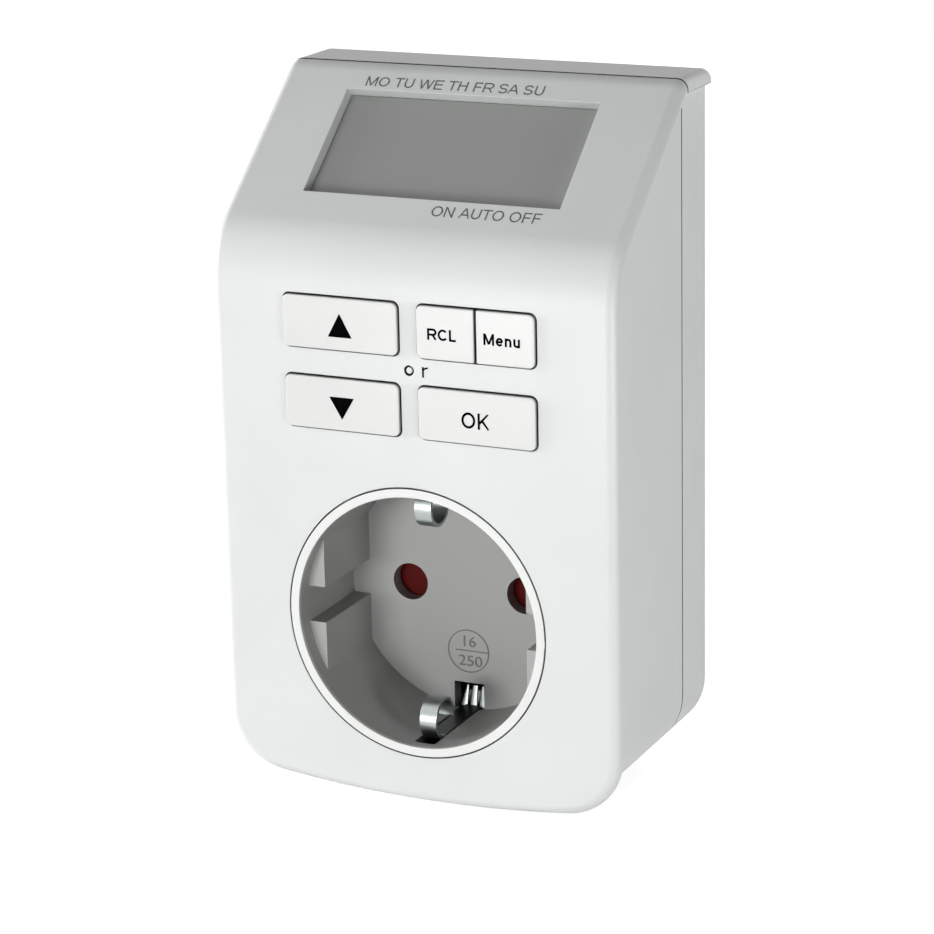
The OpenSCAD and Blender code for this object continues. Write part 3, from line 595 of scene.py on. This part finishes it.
# The keys' tool is polished, so they shine more sharply than the case and look warmer.
key_white = moulded("moulded_white_abs_key", "#E6E7E5", roughness=0.3, grain_mm=0.5,
                    depth_mm=0.0015, gap=gap_grey)
for name, x, z, w, radii, out in (
        ("up", -key_x, key_rows[0], full_w, (wide,) * 4, (over, over)),
        ("down", -key_x, key_rows[1], full_w, (wide,) * 4, (over, over)),
        ("rcl", key_x - half_off, key_rows[0], half_cap, (tight, wide, wide, tight), (over, 0)),
        ("menu", key_x + half_off, key_rows[0], half_cap, (wide, tight, tight, wide), (0, over)),
        ("ok", key_x, key_rows[1], full_w, (wide,) * 4, (over, over))):
    a = turn(0, 90, 5)
    inset = np.concatenate([key_round * (1 - np.sin(a)) + 0.03, [0.02, 0]])
    depth = np.concatenate([key_round * (1 - np.cos(a)) - key_proud, [0.02, flange_y]])
    loops = [on_front(x, z)(keyed_loop(w, cap_h, radii, i), d) for i, d in zip(inset, depth)]
    wing = keyed_loop(w + sum(out), cap_h + 2 * over, radii, 0, at=((out[1] - out[0]) / 2, 0))
    loops += [on_front(x, z)(wing, d) for d in (flange_y, flange_y + flange_t)]
    stem = lathe([(0, flange_y + 0.1), (stem_r, flange_y + 0.1), (stem_r, stem_end - 0.15),
                  (stem_r - 0.15, stem_end), (0, stem_end)], at=(x, z))
    cap = make_piece("keycap_" + name, [net(loops, closed=True), fill(loops[0]), fill(loops[-1]), stem])
    # Painted shade on the caps' sides: full behind the front face, 0.55 where they stand proud.
    mark_gaps(cap, lambda m, n: np.where(np.abs(n[:, 1]) < 0.1, np.where(m[:, 1] > 0, 1, 0.55), 0))
    dress(cap, key_white)
    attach(cap, "key_%s_body" % name)
    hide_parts("key_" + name)

reset_r = 0.5
reset_set = 0.1  # the pin's tip lies this far behind the front face
reset_round = 0.12
a = turn(0, 90, 5)
tip = [(reset_r - reset_round * (1 - np.sin(t)), reset_set + reset_round * (1 - np.cos(t))) for t in a]
reset = make_piece("reset_pin", [lathe([(0, reset_set)] + tip + [
    (reset_r, flange_y), (stem_r, flange_y), (stem_r, flange_y + flange_t),
    (reset_r, flange_y + flange_t), (reset_r, stem_end), (0, stem_end)], at=(0, reset_z), steps=20)])
# Painted shade on the reset pin's sides, which makes the hole round it look dark.
mark_gaps(reset, lambda m, n: np.abs(n[:, 1]) < 0.3)
dress(reset, key_white)
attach(reset, "reset_body")
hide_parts("reset_button")


# ---------- printed legends
# Pad-printed ink: black on the keys, mid grey on the cover. Each stands a few hundredths of
# a millimetre proud, as a film of dried ink does, and moves with what it is printed on.
def ink(name, hexa, roughness=0.5):
    """Dried printing ink: an even tone that thins a little, with the pores of the pad."""
    mat, t, shader, place = new_finish(name)
    pores = add(t, "ShaderNodeTexNoise", {"Vector": place, "Scale": 1000 / 0.3, "Detail": 2.0})
    ramp = add(t, "ShaderNodeValToRGB", {"Fac": pores.outputs["Fac"]})
    c = np.array(linear(hexa)[:3])
    thin = np.minimum(c * 1.25 + 0.003, 1)
    for end, at, tone in zip(ramp.color_ramp.elements, (0.35, 0.75), (c, thin)):
        end.position = at
        end.color = (*tone, 1)
    bump = add(t, "ShaderNodeBump", {"Height": pores.outputs["Fac"], "Strength": 0.3, "Distance": 2e-6})
    t.links.new(ramp.outputs["Color"], shader.inputs["Base Color"])
    t.links.new(bump.outputs["Normal"], shader.inputs["Normal"])
    shader.inputs["Roughness"].default_value = roughness
    shader.inputs["Specular IOR Level"].default_value = 0.0
    return mat


def bow(cx, cz, rx, rz, start, end, steps=18):
    """Part of an ellipse about (cx, cz), from start to end degrees."""
    a = turn(start, end, steps)
    return np.stack([cx + rx * np.cos(a), cz + rz * np.sin(a)], 1)


def letters(h):
    """Plain upright letters as a pen 2h wide draws them, capitals 1 high and small letters 0.73.
    Each has its width, the room before and after it, and the centre lines of its strokes."""
    low, up, small = h, 1 - h, 0.73
    half, ru = small / 2, (0.5 - h) / 2

    def stem(x, top=1.0):
        return [(x, 0), (x, top)]

    def level(z, x0, x1):
        return [(x0, z), (x1, z)]

    bowl = np.concatenate([[(0, up)], bow(0.55, (up + 0.46) / 2, 0.31 - h, (up - 0.46) / 2, 90, -90),
                           [(0, 0.46)]])
    cup = np.concatenate([[(h, 1)], bow(0.39, 0.36, 0.39 - h, 0.36 - low, 180, 360), [(0.78 - h, 1)]])
    arch = np.concatenate([bow(0.295, 0.44, 0.295 - h, small - h - 0.44, 180, 0), [(0.59 - h, 0)]])
    hook = np.concatenate([[(h, small)], bow(0.295, 0.29, 0.295 - h, 0.29 - low, 180, 360)])
    return {
        "A": (0.93, 0.0, 0.0, [[(0.6 * h, 0), (0.465 - 0.2 * h, 1)],
                               [(0.93 - 0.6 * h, 0), (0.465 + 0.2 * h, 1)], level(0.34, 0.17, 0.76)]),
        "C": (0.88, 0.07, 0.05, [bow(0.46, 0.5, 0.46 - h, 0.5 - low, 40, 320)]),
        "E": (0.75, 0.11, 0.07, [stem(h), level(up, 0, 0.75), level(0.52, 0, 0.71), level(low, 0, 0.75)]),
        "F": (0.67, 0.11, 0.07, [stem(h), level(up, 0, 0.67), level(0.5, 0, 0.6)]),
        "H": (0.78, 0.11, 0.11, [stem(h), stem(0.78 - h), level(0.54, 0, 0.78)]),
        "K": (0.82, 0.1, 0.0, [stem(h), [(h, 0.33), (0.78 - h, 1)], [(0.3, 0.55), (0.82 - 1.2 * h, 0)]]),
        "L": (0.62, 0.1, 0.05, [stem(h), level(low, 0, 0.62)]),
        "M": (0.96, 0.1, 0.1, [stem(h), stem(0.96 - h), [(1.1 * h, 1), (0.48, low)],
                               [(0.96 - 1.1 * h, 1), (0.48, low)]]),
        "N": (0.78, 0.11, 0.11, [stem(h), stem(0.78 - h), [(1.1 * h, 1), (0.78 - 1.1 * h, 0)]]),
        "O": (0.95, 0.07, 0.07, [bow(0.475, 0.5, 0.475 - h, 0.5 - low, 0, 360, 32)]),
        "R": (0.88, 0.11, 0.02, [stem(h), bowl, [(0.5, 0.46), (0.88 - 1.2 * h, 0)]]),
        "S": (0.79, 0.06, 0.07, [np.concatenate([bow(0.395, up - ru, 0.37 - h, ru, 15, 270),
                                                 bow(0.395, low + ru, 0.395 - h, ru, 90, -165)])]),
        "T": (0.79, 0.03, 0.03, [stem(0.395), level(up, 0, 0.79)]),
        "U": (0.78, 0.11, 0.11, [cup]),
        "W": (1.29, 0.01, 0.01, [[(h, 1), (0.34, 0)], [(0.34, 0), (0.645, 1)], [(0.645, 1), (0.95, 0)],
                                 [(0.95, 0), (1.29 - h, 1)]]),
        "e": (0.665, 0.05, 0.06, [level(half, h, 0.665 - h),
                                  bow(0.3325, half, 0.3325 - h, half - h, 0, 322, 26)]),
        "n": (0.59, 0.09, 0.09, [stem(h, small), arch]),
        "r": (0.39, 0.09, 0.0, [stem(h, small), bow(0.39, 0.42, 0.39 - h, small - h - 0.42, 180, 88)]),
        "u": (0.59, 0.09, 0.09, [stem(0.59 - h, small), hook])}


def pen(line, h):
    """Both edges of a stroke h either side of its centre line, with mitred corners."""
    line = np.asarray(line, float)
    step = np.diff(line, axis=0)
    step /= np.linalg.norm(step, axis=1)[:, None]
    ends = (step[-1:], step[:1]) if np.allclose(line[0], line[-1]) else (step[:1], step[-1:])
    before, after = np.concatenate([ends[0], step]), np.concatenate([step, ends[1]])
    way = before + after
    way /= (way * after).sum(1)[:, None]
    side = h * np.stack([-way[:, 1], way[:, 0]], 1)
    return line + side, line - side


sunk = 0.01  # how far the ink reaches into the surface, so that no gap shows
word_space = 0.39  # over the capitals' height, as letters() gives its widths
hair = 0.0002  # each stroke's film lies this far above the last, so that none fight


def printed(name, words, x, z, lift, weight, place):
    """Words in printed ink, stretched to fill x and z, which are (from, to) in mm. weight is the
    strokes' width over the capitals' height, and place sets them in their surface."""
    shapes, at, edges = letters(weight / 2), 0.0, []
    for c in words:
        if c == " ":
            at += word_space
            continue
        width, before, after, strokes = shapes[c]
        at += before
        for line in strokes:
            edges.append([np.clip(e, 0, (width, 1)) + (at, 0) for e in pen(line, weight / 2)])
        at += width + after
    whole = np.concatenate([e for pair in edges for e in pair])
    low, high = whole.min(0), whole.max(0)
    size = np.array([x[1] - x[0], z[1] - z[0]]) / (high - low)
    patches = []
    for k, pair in enumerate(edges):
        flat = [(e - low) * size + (x[0], z[0]) for e in pair]
        top = lift - (film + sunk) + hair * (len(edges) - k)
        face, foot = [[place(e, d) for e in flat] for d in (top, lift)]
        rings = [np.concatenate([r[0], r[1][::-1]]) for r in (foot, face)]
        patches += [net(face), net(foot), net(rings, closed=True)]
    return make_piece(name, patches)


# Both inks dry matt, so they keep their tone from every side.
key_ink = ink("black_printing_ink", "#050505", roughness=0.7)
panel_ink = ink("grey_printing_ink", "#6F706F")
on_keys = -key_proud + sunk
heavy, middling, light = 0.185, 0.15, 0.115  # pen widths over the capitals' height


def ink_on(piece, body, mat):
    """Inks a legend and lets it move with what it is printed on."""
    dress(piece, mat)
    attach(piece, body)


for name, words, x, z, weight in (
        ("rcl", "RCL", (3.35, 7.85), (43.42, 45.1), heavy),
        ("menu", "Menu", (12.15, 17.8), (43.4, 45.1), heavy),
        ("ok", "OK", (8.45, 12.8), (30.9, 33.28), middling)):
    ink_on(printed("legend_" + name, words, x, z, on_keys, weight, on_front()),
           "key_%s_body" % name, key_ink)
for name, corners in (
        ("up", [(-12.6, 42.5), (-8.75, 42.5), (-10.67, 46.0)]),
        ("down", [(-12.69, 33.53), (-8.7, 33.53), (-10.7, 30.22)])):
    ink_on(make_piece("legend_" + name, flat_plate(corners, on_keys, film + sunk)),
           "key_%s_body" % name, key_ink)
for name, words, x, z, spot, mat in (
        ("reset", "r", (2.12, 3.05), (37.6, 39.15), on_front(), key_ink),
        ("days", "MO TU WE TH FR SA SU", (-17.7, 11.05), (-4.5, -2.7), panel_place, panel_ink),
        ("modes", "ON AUTO OFF", (1.14, 18.16), (-27.7, -25.85), panel_place, panel_ink)):
    ink_on(printed("legend_" + name, words, x, z, sunk, light, spot), "case", mat)


# ---------- display
# A flat window of clear polycarbonate over a reflective liquid crystal cell, both in a
# moulded holder behind the panel. A flexible tail joins the cell to the control board.
window_in = 1.4  # the window's raised middle lies this far behind the panel's face
window_gap = 0.12  # play round its raised middle
window_w = display_w + 2.4
window_h = display_h + 2.4
window_round = 0.06  # rounding of the raised middle's edge
window_draft = display_draft * window_in / wall_t
sheet = box_loop(window_w, window_h, 0.3, 3)
pane = [on_panel(sheet, wall_t + 1), on_panel(sheet, wall_t)]
for inset, depth in ((0, wall_t), (0, window_in + window_round), (window_round, window_in)):
    inset += window_gap
    raised = box_loop(display_w - 2 * window_draft - 2 * inset, display_h - 2 * inset, 0.1, 3)
    pane.append(on_panel(raised, depth))
window = make_piece("display_pane", [net(pane, closed=True), fill(pane[0]), fill(pane[-1])])
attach(window, "case")
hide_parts("display_window")
# Clear polycarbonate with a light satin on it: it blurs what it mirrors and greys the cell.
clear, t, shader, place = new_finish("clear_polycarbonate")
haze = add(t, "ShaderNodeTexNoise", {"Vector": place, "Scale": 400.0, "Detail": 3.0})
rough = add(t, "ShaderNodeMapRange", {"Value": haze.outputs["Fac"], "To Min": 0.12, "To Max": 0.2})
t.links.new(rough.outputs["Result"], shader.inputs["Roughness"])
shader.inputs["Base Color"].default_value = linear("#A4A6A4")
shader.inputs["Alpha"].default_value = 0.92
shader.inputs["IOR"].default_value = 1.58
dress(window, clear)

# The cell's polariser is a satin film over grey glass. Its tone drifts a little, and its
# grain, too fine to see, only dulls what it mirrors.
polariser, t, shader, place = new_finish("lcd_polariser_film")
cloud = add(t, "ShaderNodeTexNoise", {"Vector": place, "Scale": 60.0, "Detail": 2.0})
ramp = add(t, "ShaderNodeValToRGB", {"Fac": cloud.outputs["Fac"]})
ramp.color_ramp.elements[0].color = linear("#A3A6A3")
ramp.color_ramp.elements[1].color = linear("#ABAEAB")
t.links.new(ramp.outputs["Color"], shader.inputs["Base Color"])
grain = add(t, "ShaderNodeTexNoise", {"Vector": place, "Scale": 4000.0, "Detail": 2.0})
bump = add(t, "ShaderNodeBump", {"Height": grain.outputs["Fac"], "Strength": 0.3, "Distance": 2e-6})
t.links.new(bump.outputs["Normal"], shader.inputs["Normal"])
shader.inputs["Roughness"].default_value = 0.5
dress(nodes["lcd_glass"], polariser)

# Undyed polyamide: a dull, slightly yellow grey.
natural = moulded("moulded_grey_polyamide", "#B4B4AE", roughness=0.55, grain_mm=0.4, depth_mm=0.004)
dress(nodes["lcd_holder"], natural)
dress(nodes["contact_carrier"], natural)


# ---------- earth contacts
# Two springs of nickel-plated steel strip. Each is rolled into a curl at the recess's wall,
# splits into three fingers in the floor's window, and runs on to the side of the plug.
def bar(path, width, thick, middle=0.0, edge=0.12):
    """A flat bar along a path of (y, z) points: a rectangle with rounded edges, width along x
    and thick across the path, carried along it. width and middle may change along the path."""
    path = np.asarray(path, float)
    n = len(path)
    along = np.gradient(path, axis=0)
    along /= np.linalg.norm(along, axis=1)[:, None]
    across = np.stack([-along[:, 1], along[:, 0]], 1)
    width = np.broadcast_to(np.asarray(width, float), (n,))
    middle = np.broadcast_to(np.asarray(middle, float), (n,))
    loop = box_loop(1, thick, edge, 3)
    shape = np.sign(loop[:, 0]) * 0.5, np.abs(loop[:, 0]) - 0.5
    x = middle[:, None] + shape[0] * width[:, None] + np.sign(loop[:, 0]) * shape[1]
    yz = path[:, None] + loop[None, :, 1:] * across[:, None]
    rows = np.concatenate([x[..., None], yz], -1)
    return [net(rows, closed=True), fill(rows[0]), fill(rows[-1])]


def bent(points, r, steps=5):
    """The (y, z) path through points with each corner turned at radius r."""
    p = np.asarray(points, float)
    out = [p[0]]
    for a, b, c in zip(p[:-2], p[1:-1], p[2:]):
        u, v = (a - b) / np.linalg.norm(a - b), (c - b) / np.linalg.norm(c - b)
        half = np.arccos(np.clip(u @ v, -1, 1)) / 2
        start, end = b + u * r / np.tan(half), b + v * r / np.tan(half)
        middle = b + (u + v) / np.linalg.norm(u + v) * r / np.sin(half)
        f = np.linspace(0, 1, steps + 1)[:, None]
        way = (start - middle) * (1 - f) + (end - middle) * f
        out.extend(middle + way / np.linalg.norm(way, axis=1)[:, None] * r)
    return np.array(out + [p[-1]])


strip_t = 0.6
curl_r = 3.25
curl_y, curl_z = 6.4, 16.6
clip_w = 2.8
strap_w = 4.6
leg_y = 19.5  # the upright leg in the floor's window
leg_z = 19.56  # its outer end, from where the strap goes back
strap_z = 17.8
step_y = 38.7  # where the strap steps out beside the plug
contact_z = 18.1  # the strap leaves the case a little further out
finger_t = 0.3
# Nickel over rolled steel: a cool mirror that the rolling marks blur. Where the strip lies in the wall's
# slot and on its fingers, a dark grey is painted as shade.
bright = metal("nickel_plated_steel_strip", "#AEB4B2", roughness=0.3, gap="#2E302F")


def clip_gaps(m, n):
    """Painted shade: 0.85 on the strip that lies in the slot of the recess's wall, and 0.45 on the
    fingers.
    """
    strip = (np.abs(m[:, 2]) > 18.2) & (m[:, 1] > 8) & (m[:, 1] < 19.2)
    return np.where(strip, 0.85, np.where((m[:, 1] > 19.1) & (m[:, 1] < 20.5), 0.45, 0))


a = turn(371.3, 90, 40)
mid_r = curl_r - strip_t / 2
curl = np.stack([curl_y + mid_r * np.cos(a), curl_z + mid_r * np.sin(a)], 1)
f = np.linspace(0, 1, 9)
leg = leg_y + strip_t / 2
for side, name in ((1, "top"), (-1, "bottom")):
    far_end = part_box("earth_clip_" + name)[1][1] * 1000 + plug_end_y
    patches = bar(np.concatenate([curl, [[leg, curl_z + mid_r]]]), clip_w, strip_t)
    for x in (-1, 0, 1):
        finger = np.stack([leg - 0.45 + 0.9 * f, 19.5 - 3.1 * f], 1)
        taper = 0.3 if x == 0 else 0.8
        patches += bar(finger, 1.2 - taper * f, finger_t, middle=x * (1.55 - 0.3 * f), edge=0.1)
    patches += bar([[leg, 19.3], [leg, 19.86]], strap_w, strip_t)
    back, out = leg + 1.2, step_y + strip_t / 2
    strap = [[leg, leg_z], [back, leg_z], [back + 0.8, strap_z], [out, strap_z], [out, contact_z],
             [far_end, contact_z]]
    patches += bar(bent(strap, 0.1), strap_w, strip_t)
    patches = [(np.asarray(p) * (1, 1, side), q) for p, q in patches]
    clip = make_piece("earth_spring_" + name, patches, sharp=40)
    mark_gaps(clip, clip_gaps)
    dress(clip, bright)
    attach(clip, "case")
    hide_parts("earth_clip_" + name)
dress(nodes["earth_bridge"], bright)


# ---------- plug pins
# Two turned brass pins, nickel plated, with rounded tips. A collar and a head hold each one
# in the plug's end wall, and a fine groove marks where the collar ends.
pin_r = 2.4
pin_x = 9.5  # half the distance between the pins
# Nickel over turned brass: a brighter and warmer mirror, crossed by the rings of the lathe.
pin_metal = metal("nickel_plated_brass_pin", "#D2D1CC", roughness=0.2, turned=True)
for side, name in ((1, "live"), (-1, "neutral")):
    node = "plug_pin_" + name
    start, end = [corner[1] * 1000 + plug_end_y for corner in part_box(node)]
    nose = [(pin_r - 1 + np.sin(t), end - 1 + np.cos(t)) for t in turn(90, 0, 8)]
    line = [(0, start), (3.45, start), (3.6, start + 0.15), (3.6, start + 1.0), (3.5, start + 1.15),
            (2.9, start + 1.15), (2.9, plug_end_y - 0.08), (2.82, plug_end_y), (1.9, plug_end_y),
            (1.9, plug_end_y + 0.3), (2.32, plug_end_y + 0.3), (pin_r, plug_end_y + 0.38)]
    line += nose + [(0, end)]
    pin = make_piece("pin_" + name, [lathe(line, at=(side * pin_x, 0), steps=48)], sharp=40)
    dress(pin, pin_metal)
    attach(pin, "case")
    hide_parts(node)


# ---------- screws
# Pan-head screws of zinc-plated steel with a cross recess, driven in from behind: four
# through the wells of the rear cover, the rest into the boards' and the carrier's posts.
def cross_head(x, z, y, r, high, shank_r, shank_l, rings=14, steps=64):
    """A screw along y with its head towards the back. The head is a dome over a disc, lowered
    where a cross of two bars, deepest in the middle, cuts into it. Polar grid of radius, angle."""
    q = np.linspace(0, 1, rings)[:, None] * r * 0.93
    a = turn(0, 360, steps)[:-1]
    u, v = q * np.cos(a), q * np.sin(a)
    dome = high - 0.35 * high * (q / r) ** 2
    arm = np.minimum(np.abs(u), np.abs(v))
    reach = np.maximum(np.abs(u), np.abs(v))
    cut = np.clip((0.17 * r - arm) / (0.05 * r), 0, 1) * np.clip((0.66 * r - reach) / (0.12 * r), 0, 1)
    top = y + dome - cut * 0.55 * high
    rows = list(np.stack([x + u, top, z + v], -1))
    edge = [(r, y + high * 0.52), (r, y), (shank_r, y), (shank_r, y - shank_l + shank_r), (0, y - shank_l)]
    rows += [np.stack([x + e * np.cos(a), np.full(steps, d), z + e * np.sin(a)], -1) for e, d in edge]
    return net(rows, closed=True)


# Zinc plate: paler and duller than nickel.
zinc = metal("zinc_plated_steel_screw", "#B9BBBC", roughness=0.32)
upper_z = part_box("case_screws")[1][2] * 1000 - 2.5
heads = [cross_head(side * x, z, y=31.82, r=2.5, high=1.8, shank_r=1.25, shank_l=12)
         for x, z in ((24.3, -18.6), (26.2, upper_z)) for side in (-1, 1)]
piece = make_piece("case_screws_crosshead", heads, sharp=35)
dress(piece, zinc)
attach(piece, "case")
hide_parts("case_screws")


# ---------- everything inside
# The shutter, contacts, leads, boards and their parts keep the model's own shapes, each with
# the finish of the real part: plastics are dull, lacquers and sleeves shine more, bare and
# plated metals mirror softly. The shutter's dark red stays dull, deep in its holes.
red = moulded("moulded_red_polyamide", "#5C0603", roughness=0.6, grain_mm=0.3, depth_mm=0.002)
red.node_tree.nodes["Principled BSDF"].inputs["Specular IOR Level"].default_value = 0.15
dress(nodes["shutter"], red)
black = moulded("moulded_black_pbt", "#141414", roughness=0.5, grain_mm=0.3, depth_mm=0.002)
for name in nodes:
    if name.startswith("plunger_"):
        dress(nodes[name], black)
for name, finish, hexa, roughness in (
        ("tact_switches", "moulded_dark_grey_pbt", "#3A3A3A", 0.42),
        ("microcontroller", "moulded_black_epoxy", "#161616", 0.6),
        ("relay", "moulded_blue_pbt", "#1F4E9A", 0.42),
        ("mains_capacitor", "yellow_capacitor_box", "#D9B32C", 0.42),
        ("electrolytic_capacitor", "navy_shrink_sleeve", "#1B2350", 0.3),
        ("varistor", "orange_epoxy_dip", "#C8701E", 0.35),
        ("resistors", "tan_resistor_lacquer", "#C9A77A", 0.4),
        ("diodes", "black_diode_epoxy", "#1A1A1A", 0.5),
        ("live_lead", "brown_pvc_insulation", "#5A3318", 0.45),
        ("load_lead", "brown_pvc_insulation_load", "#5A3318", 0.45),
        ("neutral_lead", "blue_pvc_insulation", "#2C5FA8", 0.45),
        ("board_ribbon", "grey_ribbon_pvc", "#9C9C9A", 0.5),
        ("lcd_flex", "amber_polyimide_film", "#C0781E", 0.3),
        ("control_board", "green_solder_mask", "#1E5A34", 0.35),
        ("power_board", "green_solder_mask_power", "#1E5A34", 0.35)):
    dress(nodes[name], moulded(finish, hexa, roughness=roughness))
for name, finish, hexa, roughness in (
        ("backup_battery", "nickel_battery_can", "#C0C2C2", 0.3),
        ("battery_clip", "tinned_spring_strip", "#C5C5BE", 0.35),
        ("crystal", "drawn_steel_can", "#C8C8C4", 0.25),
        ("shutter_spring", "hard_drawn_spring_wire", "#A9ABAC", 0.3),
        ("live_contact", "rolled_brass_strip", "#C9A34E", 0.3),
        ("neutral_contact", "rolled_brass_strip_neutral", "#C9A34E", 0.3),
        ("neutral_busbar", "rolled_brass_bar", "#C9A34E", 0.33),
        ("earth_pin_sleeve", "turned_brass_sleeve", "#CDAA5A", 0.25)):
    dress(nodes[name], metal(finish, hexa, roughness=roughness))
for name in ("board_screws", "control_screws", "carrier_screws"):
    dress(nodes[name], zinc)


# ---------- floor, light and camera
# A pale floor under the case, large soft lamps, and the camera in front of the right side.
# The camera, mirrors and glass see plain white; the floor darkens where the case shades it.
def seen_white(t):
    """1 for rays that show a surface: those of the camera, and through gloss or glass."""
    rays = add(t, "ShaderNodeLightPath")
    seen = add(t, "ShaderNodeMath", {0: rays.outputs["Is Camera Ray"], 1: rays.outputs["Is Glossy Ray"]},
               operation="MAXIMUM")
    return add(t, "ShaderNodeMath", {0: seen.outputs[0], 1: rays.outputs["Is Transmission Ray"]},
               operation="MAXIMUM").outputs[0]


world = bpy.data.worlds.new("studio")
bpy.context.scene.world = world
world.use_nodes = True
t = world.node_tree
plain = add(t, "ShaderNodeBackground", {"Color": (1, 1, 1, 1), "Strength": 1.0})
lit = add(t, "ShaderNodeBackground", {"Color": (1, 1, 1, 1), "Strength": 0.14})
both = add(t, "ShaderNodeMixShader", {0: seen_white(t), 1: lit.outputs[0], 2: plain.outputs[0]})
t.links.new(both.outputs[0], t.nodes["World Output"].inputs["Surface"])

floor_z = -0.028  # the lowest point of the case
across = np.linspace(-3, 3, 13)
u, v = np.meshgrid(across, across)
floor_points, floor_faces = net(np.stack([u, v, np.full(u.shape, floor_z)], -1))
floor_mesh = bpy.data.meshes.new("floor")
floor_mesh.from_pydata(floor_points, [], floor_faces)
floor = add_object("floor", floor_mesh)
paper = bpy.data.materials.new("studio_paper")
paper.use_nodes = True
t = paper.node_tree
matt = add(t, "ShaderNodeBsdfDiffuse", {"Color": linear("#CFCFCF"), "Roughness": 0.5})
glow = add(t, "ShaderNodeEmission", {"Color": (1, 1, 1, 1), "Strength": 0.86})
unlit = add(t, "ShaderNodeEmission", {"Strength": 0.0})
lifted = add(t, "ShaderNodeMixShader", {0: seen_white(t), 1: unlit.outputs[0], 2: glow.outputs[0]})
whole = add(t, "ShaderNodeAddShader", {0: matt.outputs[0], 1: lifted.outputs[0]})
t.links.new(whole.outputs[0], t.nodes["Material Output"].inputs["Surface"])
dress(floor, paper)


def lamp(name, turn_deg, height_deg, away, size, watts):
    """A square soft lamp, away mm from the case, turned from the front and raised by angles."""
    data = bpy.data.lights.new(name, "AREA")
    data.size = size / 1000
    data.energy = watts
    light = add_object(name, data)
    a, b = np.radians([turn_deg, height_deg])
    look = Vector(metres((0, 20, 20)))  # the middle of the case
    at = look + away / 1000 * Vector((np.sin(a) * np.cos(b), -np.cos(a) * np.cos(b), np.sin(b)))
    light.location = at
    light.rotation_euler = (look - at).to_track_quat("-Z", "Y").to_euler()


lamp("left_lamp", -80, 4, 700, 260, 4.05)
lamp("high_left_lamp", -60, 35, 700, 260, 0.52)
lamp("front_lamp", 0, 4, 700, 260, 0.9)
lamp("low_front_lamp", -15, -5, 330, 90, 0.41)
lamp("low_right_lamp", 62, -5, 330, 90, 0.52)
lamp("back_lamp", 180, 5, 700, 260, 2.8)


def spin(angle):
    """The matrix that turns x towards y by an angle, about z."""
    return np.array([[np.cos(angle), -np.sin(angle), 0], [np.sin(angle), np.cos(angle), 0], [0, 0, 1]])


# The camera's turn, tilt and roll, and where it sees the socket's middle, in mm. The lens is
# given by its focal length in pixels of a picture of this width.
yaw, pitch, roll = np.radians([-25.392, 16.261, -1.231])
seen_at = np.array([-7.54, 23.08, 472.21])
focal_px, picture_px, sensor_mm = 3223.9, 934, 36
upright = np.array([[1, 0, 0], [0, 0, -1], [0, 1, 0]])
tilt = np.roll(spin(pitch), 1, (0, 1))  # about x instead of z
to_camera = spin(roll) @ tilt @ upright @ spin(yaw)
camera_data = bpy.data.cameras.new("camera")
camera = add_object("camera", camera_data)
bpy.context.scene.camera = camera
where = -to_camera.T @ seen_at
axes = Matrix((to_camera.T @ np.diag([1, -1, -1])).tolist()).to_4x4()
camera.matrix_world = Matrix.Translation(Vector(metres(where))) @ axes
camera_data.lens = focal_px / picture_px * sensor_mm
camera_data.sensor_width = sensor_mm
camera_data.clip_start = 0.01

bpy.context.scene.view_settings.view_transform = "Standard"
